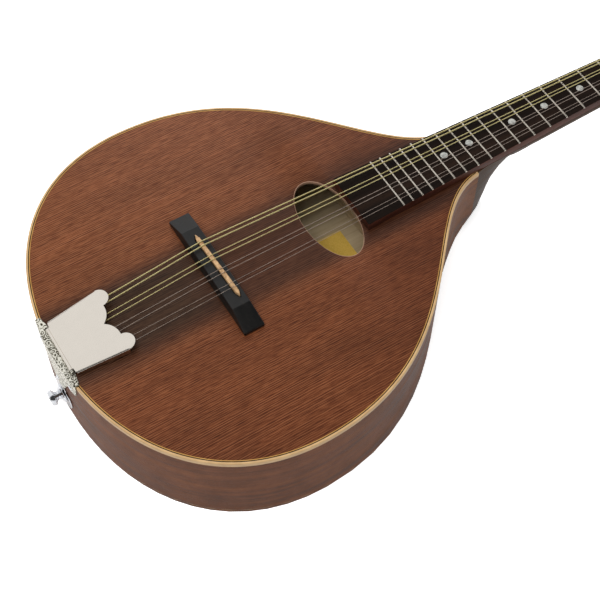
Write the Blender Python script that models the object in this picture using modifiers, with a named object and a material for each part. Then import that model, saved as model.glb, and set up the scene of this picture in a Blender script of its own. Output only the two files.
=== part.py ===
"""Portuguese mandolin with a flat teardrop body, an oval soundhole and a floating bridge.

Metres. +Z is up out of the soundboard, +Y runs along the neck to the headstock, and the bass
strings are at -X. The origin is under the middle of the whole instrument, on its flat back.
"""
import math

import bmesh
import bpy
from mathutils import Matrix, Vector

# Clearances
gap = 0.0003              # between neighbouring pieces
inlay_gap = 0.0001        # round pieces let into a groove

# How far tools reach past what they cut, and how far joined shapes sink into each other
overrun = 0.001
bore_overrun = 0.010
tuck = 0.0001
weld_distance = 0.000001

# Body
body_length = 0.3279
body_depth = 0.0760       # underside of the back to the top of the soundboard
body_half_width = 0.1456
widest_from_tail = 0.1239
heel_flat_half = 0.0223   # flat of the outline that the heel butts against
tail_handle = 0.075       # these four handles shape the teardrop's two curves
lower_side_handle = 0.0841
upper_side_handle = 0.1212
neck_handle = (0.0044, 0.0553)
curve_steps = 16
foot_tuck = 0.0071        # the sides turn in by this much at the heel's foot
foot_tuck_height = 0.025  # and from this height down
foot_tuck_length = 0.0269
foot_core_half = 0.0125   # nothing nearer to the centre line turns in
back_thickness = 0.003
rim_thickness = 0.0022
top_thickness = 0.0026
binding_width = 0.0016
binding_height = 0.0036
purfling_width = 0.0012
purfling_depth = 0.001
lining_width = 0.006
lining_height = 0.012
neck_block_length = 0.032
tail_block_thickness = 0.016
tail_block_half = 0.032
brace_width = 0.007
brace_height = 0.011
upper_top_brace_to_patch = 0.0109
lower_top_brace_to_patch = 0.0069
upper_back_brace_to_label = 0.0125
lower_back_brace_from_tail = 0.110
strip_half_width = 0.010
strip_thickness = 0.002
label_half_width = 0.029
label_length = 0.040
label_front_from_nut = 0.2375
label_thickness = 0.0003

# Soundhole
hole_from_nut = 0.2675
hole_half_x = 0.0356
hole_half_y = 0.0186
hole_points = 32
patch_margin = 0.003
patch_width = 0.012
patch_thickness = 0.0018

# Neck and fingerboard
scale_length = 0.350
nut_to_body = 0.1536
nut_half_width = 0.01535
width_gain = 0.0321       # half width gained for each metre from the nut
board_length = 0.2493
fret_plane_height = 0.0083  # fret tops above the soundboard
fret_height = 0.001
fret_width = 0.002
fret_seat = 0.0004
fret_count = 17
neck_depth = 0.0125       # below the soundboard's top level
neck_roundness = 2.4      # exponent of the neck's rounded section
neck_levels = 8
keel_steps = 9
heel_half = 0.0215
heel_foot_height = 0.0005  # the heel's foot above the back's underside
heel_tip = 0.0276         # the keel stands this far out at its foot
heel_lean = 0.12
heel_fillet = 0.042
heel_taper = 0.72
tenon_half_width = 0.010
tenon_length = 0.014
tenon_height = 0.050
tenon_bottom = 0.015
tenon_root = 0.010        # how far the tenon runs into the heel
bar_half_width = 0.003
bar_depth = 0.007
bar_start = 0.008
bar_end = 0.140
nut_thickness = 0.005
nut_height_over_slot = 0.0006
string_over_frets_at_nut = 0.0006

# Headstock, in its own frame: Y runs to the tip and Z out of its face
head_angle = math.radians(14)
head_length = 0.150
head_thickness = 0.013
head_throat_half = 0.0165
head_shoulder_half = 0.027
head_shoulder_at = 0.024
head_wide_half = 0.030
head_wide_at = 0.118
head_crest = 0.010
head_crest_half = 0.018
head_corner_reach = 0.014
head_root_overlap = 0.004
head_root_depth = 0.0005  # cut under the soundboard's level, where the head meets the shaft
veneer_thickness = 0.0017

# Tuners
tuners_per_side = 4
tuner_spacing = 0.023
first_tuner_at = 0.032
post_x = 0.017
post_radius = 0.003
post_height = 0.009       # above the veneer
post_chamfer = 0.0008
post_foot = 0.0012        # below the gear
wrap_height = 0.0056      # the first turn of a string above the veneer
wrap_space = 0.00035      # between the turns
plate_half_width = 0.007
plate_thickness = 0.001
plate_margin = 0.006
gear_teeth = 14
gear_tip_radius = 0.005
gear_root_radius = 0.0041
gear_thickness = 0.0036
worm_radius = 0.0022
worm_groove = 0.0006
worm_turns = 3
worm_half_length = 0.0035
shaft_radius = 0.0012
ear_thickness = 0.0014
ear_half_width = 0.0024
ear_margin = 0.0012       # of the ear below its shaft
shaft_end = 0.0005        # of the shaft past its inner ear
button_length = 0.013
button_radius = 0.0078
button_flatness = 0.62
button_to_edge = 0.0035
turned_steps = 10

# Tailpiece
base_thickness = 0.0008
base_top_half = 0.0205
base_front_from_tail = 0.034
base_rim_half = 0.030
base_shoulder = 0.0035    # of the base's wide part onto the soundboard
base_shoulder_slope = 0.002
base_tab_radius = 0.0126
tab_depth = 0.052         # strap button's axis below the soundboard's top
screw_lobe_x = 0.0224
screw_lobe_depth = 0.010
screw_lobe_radius = 0.0062
skirt_side_depth = 0.004
skirt_steps = [(0.0075, 0.033), (0.0118, 0.023), (0.0172, 0.0145)]  # cusps: x and depth
skirt_bulge = 0.0012
hook_radius = 0.001
hook_height = 0.0033
hook_from_tail = 0.0295
hinge_from_tail = 0.005
hinge_pin_radius = 0.0005
knuckle_radius = 0.0012
knuckle_width = 0.0020
cover_length = 0.0462     # hinge axis to the tips of the lobes
cover_rear_half = 0.0224
cover_lobe_x = 0.0195
cover_lobe_radius = 0.0067
cover_cusp_back = 0.0125  # the cusp on the centre line, behind the lobe tips
cover_arc_bulge = 0.0019
cover_thickness = 0.0008
cover_flange = 0.0032     # at the hinge
cover_flange_front = 0.0058
cover_slope = math.radians(5)
strap_head_radius = 0.00585
strap_waist_radius = 0.0030
strap_foot_radius = 0.0070
strap_length = 0.0097
strap_foot_edge = 0.0008
strap_waist_at = 0.0042   # from the foot
strap_flange_at = 0.0068
strap_flange_edge = 0.0013
strap_face_radius = 0.0050
strap_bore = 0.0021
strap_recess = 0.0025
strap_screw_radius = 0.0017
strap_screw_head = 0.0034
strap_screw_length = 0.024
strap_screw_tip = 0.005

# Bridge
bridge_from_nut = 0.3585
bridge_half_length = 0.053
bridge_middle_half = 0.0355
bridge_width = 0.0155
bridge_top_width = 0.0135
bridge_end_height = 0.003
bridge_height = 0.009
saddle_half_length = 0.0294
saddle_thickness = 0.003
saddle_point = 0.004
saddle_bass_from_nut = 0.358
saddle_treble_from_nut = 0.3557
saddle_seat = 0.0015
saddle_top_height = 0.0112  # above the soundboard

# Strings, bass to treble: diameter, and the distance from the centre line at the hook,
# the saddle and the nut
string_gap = 0.0002
strings = {
    "string_g1": (0.0010, -0.0200, -0.0215, -0.0124),
    "string_g2": (0.0010, -0.0154, -0.0180, -0.0100),
    "string_d1": (0.0007, -0.0081, -0.0082, -0.0052),
    "string_d2": (0.0007, -0.0038, -0.0046, -0.0028),
    "string_a1": (0.0004, 0.0038, 0.0046, 0.0028),
    "string_a2": (0.0004, 0.0081, 0.0082, 0.0052),
    "string_e1": (0.0003, 0.0154, 0.0180, 0.0100),
    "string_e2": (0.0003, 0.0200, 0.0215, 0.0124),
}
hook_string_height = 0.0029  # above the soundboard
string_wraps = 1.3
wrap_points = 11

# Places that follow from the sizes
head_reach = head_length * math.cos(head_angle)
head_reach += (gap + veneer_thickness) * math.sin(head_angle)
strap_reach = gap + base_thickness + gap + strap_length
overall_length = strap_reach + body_length + nut_to_body + nut_thickness + 2 * gap + head_reach
tail_y = strap_reach - overall_length / 2
joint_y = tail_y + body_length
nut_y = joint_y + nut_to_body
head_y = nut_y + nut_thickness + 2 * gap
top_z = body_depth
top_under_z = top_z - top_thickness
rim_top_z = top_z - binding_height - gap
inside_z = back_thickness + gap
heel_depth = body_depth - heel_foot_height
hole_y = nut_y - hole_from_nut
patch_half_y = hole_half_y + patch_margin + patch_width
label_front_y = nut_y - label_front_from_nut
lining_inset = rim_thickness + gap
fret_plane_z = top_z + fret_plane_height
board_top_z = fret_plane_z - fret_height
board_bottom_z = top_z + gap
saddle_top_z = top_z + saddle_top_height
slot_z = fret_plane_z + string_over_frets_at_nut

collection = bpy.data.collections.new("portuguese_mandolin")
cutters = bpy.data.collections.new("cutters")


def finish(name, colour, roughness, metallic=0.0):
    """Principled material with the part's colour."""
    material = bpy.data.materials.new(name)
    material.use_nodes = True
    shader = material.node_tree.nodes["Principled BSDF"]
    shader.inputs["Base Color"].default_value = (*colour, 1)
    shader.inputs["Roughness"].default_value = roughness
    shader.inputs["Metallic"].default_value = metallic
    material.diffuse_color = (*colour, 1)
    return material


def place(name, data, material=None, parent=None):
    """New object in the mandolin's collection."""
    piece = bpy.data.objects.new(name, data)
    collection.objects.link(piece)
    piece.parent = parent
    if material is not None:
        data.materials.append(material)
    return piece


def make_cutter(piece):
    """Keep a piece only as the tool of a Boolean."""
    collection.objects.unlink(piece)
    cutters.objects.link(piece)
    piece.hide_render = True
    piece.display_type = "WIRE"
    return piece


def combine(piece, tool, operation):
    """Add one exact Boolean to a piece."""
    make_cutter(tool)
    boolean = piece.modifiers.new(tool.name, "BOOLEAN")
    boolean.operation = operation
    boolean.solver = "EXACT"
    boolean.object = tool


def cut(piece, tool):
    combine(piece, tool, "DIFFERENCE")


def join(piece, tool):
    combine(piece, tool, "UNION")


def weld(mesh):
    """Close a mesh whose caps are loose."""
    work = bmesh.new()
    work.from_mesh(mesh)
    bmesh.ops.remove_doubles(work, verts=work.verts, dist=weld_distance)
    bmesh.ops.recalc_face_normals(work, faces=work.faces)
    work.to_mesh(mesh)
    work.free()


def flat_piece(name, outlines, bottom, top, material=None, parent=None):
    """Plate between two heights; outlines after the first one are holes in it."""
    curve = bpy.data.curves.new(name + "_outline", "CURVE")
    curve.dimensions = "2D"
    curve.fill_mode = "BOTH"
    curve.extrude = (top - bottom) / 2
    for outline in outlines:
        spline = curve.splines.new("POLY")
        spline.points.add(len(outline) - 1)
        for point, (x, y) in zip(spline.points, outline):
            point.co = (x, y, 0, 1)
        spline.use_cyclic_u = True
    drawn = place(name + "_outline", curve)
    bpy.context.view_layer.update()
    graph = bpy.context.evaluated_depsgraph_get()
    mesh = bpy.data.meshes.new_from_object(drawn.evaluated_get(graph))
    bpy.data.objects.remove(drawn)
    mesh.name = name
    weld(mesh)
    piece = place(name, mesh, material, parent)
    piece.location = (0, 0, (bottom + top) / 2)
    return piece


def box(name, low, high, material=None, parent=None):
    """Box between two corners."""
    mesh = bpy.data.meshes.new(name)
    work = bmesh.new()
    bmesh.ops.create_cube(work, size=1)
    size = [b - a for a, b in zip(low, high)]
    bmesh.ops.scale(work, vec=size, verts=work.verts)
    work.to_mesh(mesh)
    work.free()
    piece = place(name, mesh, material, parent)
    piece.location = [(a + b) / 2 for a, b in zip(low, high)]
    return piece


def turned_piece(name, profile, material=None, parent=None, closed=False, steps=turned_steps):
    """Profile of (radius, height) points turned about Z, listed from top to bottom."""
    mesh = bpy.data.meshes.new(name)
    edges = [(i, i + 1) for i in range(len(profile) - 1)]
    if closed:
        edges.append((len(profile) - 1, 0))
    mesh.from_pydata([(radius, 0, height) for radius, height in profile], edges, [])
    piece = place(name, mesh, material, parent)
    screw = piece.modifiers.new("turn", "SCREW")
    screw.steps = steps
    screw.render_steps = steps
    screw.use_merge_vertices = True
    screw.merge_threshold = 10 * weld_distance
    return piece


def cylinder(name, radius, bottom, top, parent=None, steps=turned_steps):
    """Round bar along Z, used to cut bores."""
    return turned_piece(name, [(0, top), (radius, top), (radius, bottom), (0, bottom)],
                        parent=parent, steps=steps)


def bezier(start, first, second, end, steps):
    """Points of a cubic curve, without its last one."""
    points = []
    for i in range(steps):
        t = i / steps
        weights = ((1 - t) ** 3, 3 * t * (1 - t) ** 2, 3 * t * t * (1 - t), t ** 3)
        corners = (start, first, second, end)
        points.append(tuple(sum(w * c[k] for w, c in zip(weights, corners)) for k in (0, 1)))
    return points


def arc(centre, radius, start, end, steps, flat=1.0):
    """Points of an arc in degrees; flat squeezes it along Y."""
    points = []
    for i in range(steps + 1):
        angle = math.radians(start + (end - start) * i / steps)
        points.append((centre[0] + radius * math.cos(angle),
                       centre[1] + radius * flat * math.sin(angle)))
    return points


def ellipse(centre, half_x, half_y, steps):
    return arc(centre, half_x, 0, 360 - 360 / steps, steps - 1, half_y / half_x)


def bulged(start, end, bulge, steps):
    """Points between two ends on an arc that bulges to the right of its way."""
    chord = math.dist(start, end)
    points = []
    for i in range(1, steps):
        t = i / steps
        along = (start[0] + (end[0] - start[0]) * t, start[1] + (end[1] - start[1]) * t)
        out = 4 * bulge * t * (1 - t) / chord
        points.append((along[0] + (end[1] - start[1]) * out, along[1] - (end[0] - start[0]) * out))
    return points


def mirrored(half):
    """Whole outline from its right half, which starts and ends off the centre line."""
    return half + [(-x, y) for x, y in reversed(half)]


def body_outline():
    """Teardrop, anticlockwise from the middle of the tail."""
    widest = (body_half_width, tail_y + widest_from_tail)
    shoulder = (heel_flat_half, joint_y)
    half = bezier((0, tail_y), (tail_handle, tail_y),
                  (body_half_width, widest[1] - lower_side_handle), widest, curve_steps)
    half += bezier(widest, (body_half_width, widest[1] + upper_side_handle),
                   (heel_flat_half + neck_handle[0], joint_y - neck_handle[1]), shoulder,
                   curve_steps)
    half.append(shoulder)
    return half + [(-x, y) for x, y in reversed(half[1:])]


def inset(outline, distance):
    """Anticlockwise outline moved inward, with mitred corners."""
    count = len(outline)
    moved = []
    for i in range(count):
        before = Vector(outline[i]) - Vector(outline[i - 1])
        after = Vector(outline[(i + 1) % count]) - Vector(outline[i])
        first = Vector((-before.y, before.x)).normalized()
        second = Vector((-after.y, after.x)).normalized()
        point = Vector(outline[i]) + (first + second) * (distance / (1 + first.dot(second)))
        moved.append((point.x, point.y))
    return moved


def side_line(distance):
    """Right half of the body's outline moved inward, from the tail to the heel's corner."""
    return inset(body_outline(), distance)[:2 * curve_steps + 1]


def crossing(first, second, axis, value):
    t = (value - first[axis]) / (second[axis] - first[axis])
    return tuple(first[k] + (second[k] - first[k]) * t for k in (0, 1))


def side_stretch(distance, start_x, end_y=None):
    """Stretch of a side line from its first point at start_x, to end_y or to the heel."""
    line = side_line(distance)
    first = next(i for i, point in enumerate(line) if point[0] > start_x)
    start = crossing(line[first - 1], line[first], 0, start_x)
    if end_y is None:
        return [start] + line[first:]
    last = next(i for i, point in enumerate(line) if point[1] >= end_y)
    return [start] + line[first:last] + [crossing(line[last - 1], line[last], 1, end_y)]


def tail_stretch(distance, end_x):
    """Stretch of a side line from the middle of the tail to its point at end_x."""
    line = side_line(distance)
    last = next(i for i, point in enumerate(line) if point[0] > end_x)
    return [(0, line[0][1])] + line[1:last] + [crossing(line[last - 1], line[last], 0, end_x)]


def half_width_at(distance, y):
    """Half width of the inset outline at one place along the body, on its upper half."""
    line = side_line(distance)
    last = next(i for i, point in enumerate(line) if point[1] >= y)
    return crossing(line[last - 1], line[last], 1, y)[0]


def bar_half_length(distance, y, width):
    """Half length of a cross bar that fits between the inset sides."""
    return min(half_width_at(distance, y - width / 2), half_width_at(distance, y + width / 2))


def for_side(side, outline):
    """Outline drawn for the treble side, mirrored for the bass side."""
    return [(side * x, y) for x, y in outline]


def board_half_width(from_nut):
    return nut_half_width + width_gain * from_nut


def foot_tuck_at(y, z):
    """How far the body's side turns in at one place near the heel's foot."""
    along = min(max(1 - (joint_y - y) / foot_tuck_length, 0), 1)
    down = max(1 - z / foot_tuck_height, 0)
    return foot_tuck * along ** 1.5 * down


def tuck_foot(piece):
    """Turn the outer walls of a body piece in, near the heel's foot."""
    level = piece.location.z
    work = bmesh.new()
    work.from_mesh(piece.data)
    bmesh.ops.bisect_plane(work, geom=work.verts[:] + work.edges[:] + work.faces[:],
                           plane_co=(0, 0, foot_tuck_height - level), plane_no=(0, 0, 1))
    for vertex in work.verts:
        if abs(vertex.co.x) > foot_core_half:
            inward = foot_tuck_at(vertex.co.y, vertex.co.z + level)
            vertex.co.x -= math.copysign(inward, vertex.co.x)
    walls = [face for face in work.faces if len(face.verts) == 4]
    bmesh.ops.triangulate(work, faces=walls, quad_method="SHORT_EDGE")
    work.to_mesh(piece.data)
    work.free()


def build_back(material):
    back = flat_piece("back", [body_outline()], 0, back_thickness, material)
    tuck_foot(back)


def build_rims(material):
    """Two bent sides; they meet at the tail and leave a slot for the neck's tenon."""
    slot = tenon_half_width + gap
    for name, side in (("rim_bass", -1), ("rim_treble", 1)):
        outer = side_stretch(0, gap / 2)
        inner = side_stretch(rim_thickness, gap / 2)
        outline = outer + [(slot, joint_y), (slot, joint_y - rim_thickness)] + inner[::-1]
        rim = flat_piece(name, [for_side(side, outline)], inside_z, rim_top_z, material)
        tuck_foot(rim)
        cut(rim, strap_screw_bore(name + "_bore"))


def strap_screw_bore(name):
    """Bore for the strap button's screw, through everything at the tail."""
    bore = cylinder(name, strap_screw_radius + gap, -tail_block_thickness - bore_overrun,
                    bore_overrun)
    bore.location = (0, tail_y, top_z - tab_depth)
    bore.rotation_euler = (math.radians(90), 0, 0)
    return bore


def build_binding(material):
    outlines = [body_outline(), inset(body_outline(), binding_width)]
    flat_piece("binding", outlines, top_z - binding_height, top_z, material)


def build_soundboard(material):
    """Soundboard with its oval hole and the ledge that the purfling lies on."""
    edge = binding_width + inlay_gap
    hole = ellipse((0, hole_y), hole_half_x, hole_half_y, hole_points)
    outlines = [inset(body_outline(), edge), hole]
    board = flat_piece("soundboard", outlines, top_under_z, top_z, material)
    ledge = edge + purfling_width + inlay_gap
    ring = [body_outline(), inset(body_outline(), ledge)]
    floor = top_z - purfling_depth - inlay_gap
    cut(board, flat_piece("purfling_ledge", ring, floor, top_z + overrun))


def build_purfling(material):
    outer = inset(body_outline(), binding_width + inlay_gap)
    inner = inset(body_outline(), binding_width + inlay_gap + purfling_width)
    flat_piece("purfling", [outer, inner], top_z - purfling_depth, top_z, material)


def build_blocks(material):
    """Neck block with the tenon's mortise, and tail block with the strap screw's bore."""
    end = joint_y - lining_inset
    start = end - neck_block_length
    line = side_line(lining_inset)
    half = [(half_width_at(lining_inset, start), start)] + [p for p in line if p[1] > start]
    ceiling = top_under_z - gap
    neck_block = flat_piece("neck_block", [mirrored(half)], inside_z, ceiling, material)
    tuck_foot(neck_block)
    low = (-tenon_half_width - gap, joint_y - tenon_length - gap, tenon_bottom - gap)
    high = (tenon_half_width + gap, joint_y, tenon_bottom + tenon_height + gap)
    cut(neck_block, box("mortise", low, high))

    curve = tail_stretch(lining_inset, tail_block_half)
    front = tail_y + lining_inset + tail_block_thickness
    half = [*curve[1:], (tail_block_half, front)]
    outline = [curve[0], *mirrored(half)]
    tail_block = flat_piece("tail_block", [outline], inside_z, ceiling, material)
    cut(tail_block, strap_screw_bore("tail_block_bore"))


def build_linings(material):
    """Strips that the plates are glued to, from block to block."""
    levels = {
        "lining_top": (top_under_z - gap - lining_height, top_under_z - gap),
        "lining_back": (inside_z, inside_z + lining_height),
    }
    start = tail_block_half + gap
    end = joint_y - lining_inset - neck_block_length - gap
    outer = side_stretch(lining_inset, start, end)
    inner = side_stretch(lining_inset + lining_width, start, end)
    outline = outer + inner[::-1]
    for level, (bottom, top) in levels.items():
        flat_piece(level + "_bass", [for_side(-1, outline)], bottom, top, material)
        flat_piece(level + "_treble", [for_side(1, outline)], bottom, top, material)


def cross_bar(name, y, bottom, top, material):
    """Brace across the body between the linings."""
    reach = bar_half_length(lining_inset + lining_width + gap, y, brace_width)
    low = (-reach, y - brace_width / 2, bottom)
    return box(name, low, (reach, y + brace_width / 2, top), material)


def build_braces(material):
    ceiling = top_under_z - gap
    upper_y = hole_y + patch_half_y + upper_top_brace_to_patch + brace_width / 2
    lower_y = hole_y - patch_half_y - lower_top_brace_to_patch - brace_width / 2
    cross_bar("top_brace_upper", upper_y, ceiling - brace_height, ceiling, material)
    cross_bar("top_brace_lower", lower_y, ceiling - brace_height, ceiling, material)
    top = inside_z + brace_height
    upper_y = label_front_y + upper_back_brace_to_label + brace_width / 2
    cross_bar("back_brace_upper", upper_y, inside_z, top, material)
    y = tail_y + lower_back_brace_from_tail
    lower = cross_bar("back_brace_lower", y, inside_z, top, material)
    reach = strip_half_width + gap
    notch_top = inside_z + strip_thickness + gap
    cut(lower, box("strip_notch", (-reach, y - brace_width, 0), (reach, y + brace_width, notch_top)))


def build_centre_strip(material):
    """Strip over the joint of the back, from the tail block to the label."""
    start = tail_y + lining_inset + tail_block_thickness + gap
    end = label_front_y - label_length - gap
    low = (-strip_half_width, start, inside_z)
    high = (strip_half_width, end, inside_z + strip_thickness)
    box("back_centre_strip", low, high, material)


def build_soundhole_patch(material):
    centre = (0, hole_y)
    inner = ellipse(centre, hole_half_x + patch_margin, hole_half_y + patch_margin, hole_points)
    outer = ellipse(centre, hole_half_x + patch_margin + patch_width, patch_half_y, hole_points)
    top = top_under_z - gap
    flat_piece("soundhole_patch", [outer, inner], top - patch_thickness, top, material)


def build_label(material):
    low = (-label_half_width, label_front_y - label_length, inside_z)
    high = (label_half_width, label_front_y, inside_z + label_thickness)
    box("label", low, high, material)


def heel_reach_at(depth):
    """How far the heel's keel stands out from the body at one depth below the neck's top."""
    reach = heel_tip + heel_lean * (heel_depth - depth)
    rise = heel_fillet - (depth - neck_depth)
    if rise > 0:
        reach += heel_fillet - math.sqrt(max(heel_fillet ** 2 - rise ** 2, 0))
    return reach


def neck_half_width(from_body, depth):
    """Half width of the neck and heel at one place and depth."""
    shaft = board_half_width(max(nut_to_body - from_body, 0))
    share = min(depth / neck_depth, 1)
    shaft *= (1 - share ** neck_roundness) ** (1 / neck_roundness)
    keel = max(1 - from_body / heel_reach_at(max(depth, neck_depth)), 0)
    heel = heel_half - foot_tuck_at(joint_y, top_z - depth)
    return max(shaft, heel * keel ** heel_taper)


def neck_ring(work, from_body, depth):
    """One section of the neck, from its treble edge round the underside to its bass edge."""
    side = []
    for i in range(neck_levels + 1):
        level = depth * math.sin(math.pi / 2 * i / neck_levels)
        side.append((neck_half_width(from_body, level), level))
    y = joint_y + from_body
    points = side + [(-x, level) for x, level in reversed(side)]
    return [work.verts.new((x, y, top_z - level)) for x, level in points]


def neck_shaft(name, material):
    """Neck and heel, a loft of sections from the body to the headstock."""
    places = [(gap + heel_tip * i / 4, heel_depth) for i in range(4)]
    for i in range(keel_steps + 1):
        depth = heel_depth + (neck_depth - heel_depth) * (i / keel_steps) ** 0.6
        places.append((heel_reach_at(depth), depth))
    middle = (heel_reach_at(neck_depth) + nut_to_body) / 2
    places += [(middle, neck_depth), (head_y - joint_y, neck_depth)]
    work = bmesh.new()
    rings = [neck_ring(work, from_body, depth) for from_body, depth in places]
    count = len(rings[0])
    for low, high in zip(rings, rings[1:]):
        for i in range(count):
            j = (i + 1) % count
            work.faces.new((low[i], low[j], high[j], high[i]))
    work.faces.new(rings[0])
    work.faces.new(rings[-1])
    mesh = bpy.data.meshes.new(name)
    work.to_mesh(mesh)
    work.free()
    weld(mesh)
    mesh.shade_smooth()
    mesh.set_sharp_from_angle(angle=math.radians(40))
    return place(name, mesh, material)


def head_outline():
    """Headstock seen on its face, anticlockwise, in its own frame."""
    throat = (head_throat_half, 0)
    shoulder = (head_shoulder_half, head_shoulder_at)
    wide = (head_wide_half, head_wide_at)
    reach = head_shoulder_at / 2
    half = bezier(throat, (throat[0], reach), (shoulder[0], reach), shoulder, 8)
    half += [shoulder]
    half += bezier(wide, (head_wide_half, head_wide_at + head_corner_reach),
                   (head_crest_half, head_length - head_crest), (0, head_length), 10)
    return half + [(0, head_length)] + [(-x, y) for x, y in reversed(half)]


def post_places():
    """Side, number and place of each tuner on the headstock's face."""
    for side_name, side in (("bass", -1), ("treble", 1)):
        for number in range(tuners_per_side):
            yield side_name, side, number + 1, side * post_x, first_tuner_at + tuner_spacing * number


def build_neck(material, head_frame):
    """Neck, heel, tenon and headstock in one piece, with the posts' bores and the bar's channel."""
    neck = neck_shaft("neck", material)
    holes = [ellipse((x, y), post_radius + gap, post_radius + gap, turned_steps)
             for _, _, _, x, y in post_places()]
    root = (head_throat_half, -head_root_overlap)
    outline = [root, *head_outline(), (-root[0], root[1])]
    head = flat_piece("headstock", [outline, *holes], -head_thickness, 0, parent=head_frame)
    low = (-head_wide_half, nut_y - nut_thickness, top_z - head_root_depth)
    high = (head_wide_half, head_y + 2 * head_root_overlap, top_z + head_thickness)
    cut(head, box("head_root", low, high))
    join(neck, head)
    low = (-tenon_half_width, joint_y - tenon_length, tenon_bottom)
    high = (tenon_half_width, joint_y + tenon_root, tenon_bottom + tenon_height)
    join(neck, box("tenon", low, high))
    reach = bar_half_width + inlay_gap
    low = (-reach, nut_y - bar_end - inlay_gap, top_z - bar_depth - inlay_gap)
    high = (reach, nut_y - bar_start + inlay_gap, top_z + overrun)
    cut(neck, box("bar_channel", low, high))


def build_neck_bar(material):
    low = (-bar_half_width, nut_y - bar_end, top_z - bar_depth)
    box("neck_bar", low, (bar_half_width, nut_y - bar_start, top_z), material)


def build_veneer(material, head_frame):
    start = veneer_thickness * math.tan(head_angle)
    holes = [ellipse((x, y), post_radius + gap, post_radius + gap, turned_steps)
             for _, _, _, x, y in post_places()]
    outline = [(x, max(y, start)) for x, y in head_outline()]
    flat_piece("headstock_veneer", [outline, *holes], gap, gap + veneer_thickness, material,
               head_frame)


def fret_from_nut(number):
    return scale_length * (1 - 2 ** (-number / 12))


def build_fingerboard(material):
    """Tapered board with its frets."""
    end_half = board_half_width(board_length)
    outline = [(-end_half, nut_y - board_length), (end_half, nut_y - board_length),
               (nut_half_width, nut_y), (-nut_half_width, nut_y)]
    board = flat_piece("fingerboard", [outline], board_bottom_z, board_top_z, material)
    for number in range(1, fret_count + 1):
        from_nut = fret_from_nut(number)
        join(board, fret("fret_%02d" % number, from_nut))


def fret(name, from_nut):
    """One fret with a crown narrower than its foot, its ends just inside the board's."""
    half = board_half_width(from_nut) - tuck
    low = (-half, nut_y - from_nut - fret_width / 2, board_top_z - fret_seat)
    bar = box(name, low, (half, nut_y - from_nut + fret_width / 2, fret_plane_z))
    for vertex in bar.data.vertices:
        if vertex.co.z > 0:
            vertex.co.y *= 0.4
    return bar


def build_nut(material):
    """Nut with one slot for each string."""
    start = nut_y + gap
    low = (-nut_half_width, start, top_z + gap)
    nut_top = slot_z + nut_height_over_slot
    high = (nut_half_width, start + nut_thickness, nut_top)
    nut = box("nut", low, high, material)
    for name, (diameter, _, _, x) in strings.items():
        reach = diameter / 2 + gap
        low = (x - reach, start - overrun, slot_z)
        high = (x + reach, start + nut_thickness + overrun, nut_top + overrun)
        cut(nut, box("slot_" + name, low, high))


def base_skirt_outline():
    """The tailpiece base seen from the tail: X and height, anticlockwise."""
    lobe = (screw_lobe_x, top_z - screw_lobe_depth)
    tab = (0, top_z - tab_depth)
    half = arc(tab, base_tab_radius, -90, 58, 9)
    for number, (x, depth) in enumerate(skirt_steps):
        cusp = (x, top_z - depth)
        half += bulged(half[-1], cusp, skirt_bulge if number else -skirt_bulge, 4)
        if number < len(skirt_steps) - 1:
            half.append(cusp)
    half += arc(lobe, screw_lobe_radius, 215, 360, 8)
    half += [(base_rim_half, top_z - skirt_side_depth),
             (base_rim_half, top_z + gap + base_thickness)]
    return half + [(-x, z) for x, z in reversed(half[1:])]


def build_tailpiece_base(material):
    """Plate under the cover, bent down over the rim to the strap button."""
    bottom = top_z + gap
    top = bottom + base_thickness
    front = tail_y + base_front_from_tail
    rim_curve = tail_stretch(-gap - base_thickness, base_rim_half)
    shoulder_y = rim_curve[-1][1] + base_shoulder
    half = rim_curve[1:] + [(base_rim_half, shoulder_y)]
    half += [(base_top_half, shoulder_y + base_shoulder_slope), (base_top_half, front)]
    base = flat_piece("tailpiece_base", [[rim_curve[0], *mirrored(half)]], bottom, top, material)

    wide = base_rim_half + bore_overrun
    outer = tail_stretch(-gap - base_thickness, wide)
    inner = tail_stretch(-gap, wide)
    slab = [(-x, y) for x, y in reversed(outer[1:])] + outer
    slab += inner[::-1] + [(-x, y) for x, y in inner[1:]]
    skirt = flat_piece("base_skirt", [slab], 0, top - tuck)
    profile = flat_piece("base_profile", [base_skirt_outline()], -body_depth, body_depth)
    profile.location = (0, tail_y, 0)
    profile.rotation_euler = (math.radians(90), 0, 0)
    combine(skirt, profile, "INTERSECT")
    cut(skirt, strap_screw_bore("base_bore"))
    join(base, skirt)

    for name, (_, x, _, _) in strings.items():
        hook = cylinder("hook_" + name, hook_radius, bottom + base_thickness / 2,
                        top + hook_height, steps=6)
        hook.location = (x, tail_y + hook_from_tail, 0)
        join(base, hook)
    add_hinge_ears(base, top)


def hinge_axis():
    """Height and place of the cover's hinge."""
    height = top_z + gap + base_thickness + gap + knuckle_radius
    return Vector((0, tail_y + hinge_from_tail, height))


def add_hinge_ears(base, base_top):
    """Two knuckles on the base, which hold the hinge pin's ends."""
    axis = hinge_axis()
    outer = base_top_half
    for side in (-1, 1):
        middle = side * (outer - knuckle_width / 2)
        ear = cylinder("ear_%d" % side, knuckle_radius, -knuckle_width / 2, knuckle_width / 2)
        ear.location = (middle, axis.y, axis.z)
        ear.rotation_euler = (0, math.radians(90), 0)
        leg_low = (middle - knuckle_width / 2 + tuck, axis.y - knuckle_radius * 0.7,
                   base_top - base_thickness / 2)
        leg_high = (middle + knuckle_width / 2 - tuck, axis.y + knuckle_radius * 0.7, axis.z)
        join(base, box("ear_leg_%d" % side, leg_low, leg_high))
        join(base, ear)
    bore = cylinder("ear_bore", hinge_pin_radius + gap, -base_rim_half, base_rim_half)
    bore.location = axis
    bore.rotation_euler = (0, math.radians(90), 0)
    cut(base, bore)


def barrel_reach():
    """Half length of the cover's barrel, which turns between the base's ears."""
    return base_top_half - knuckle_width - gap


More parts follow.
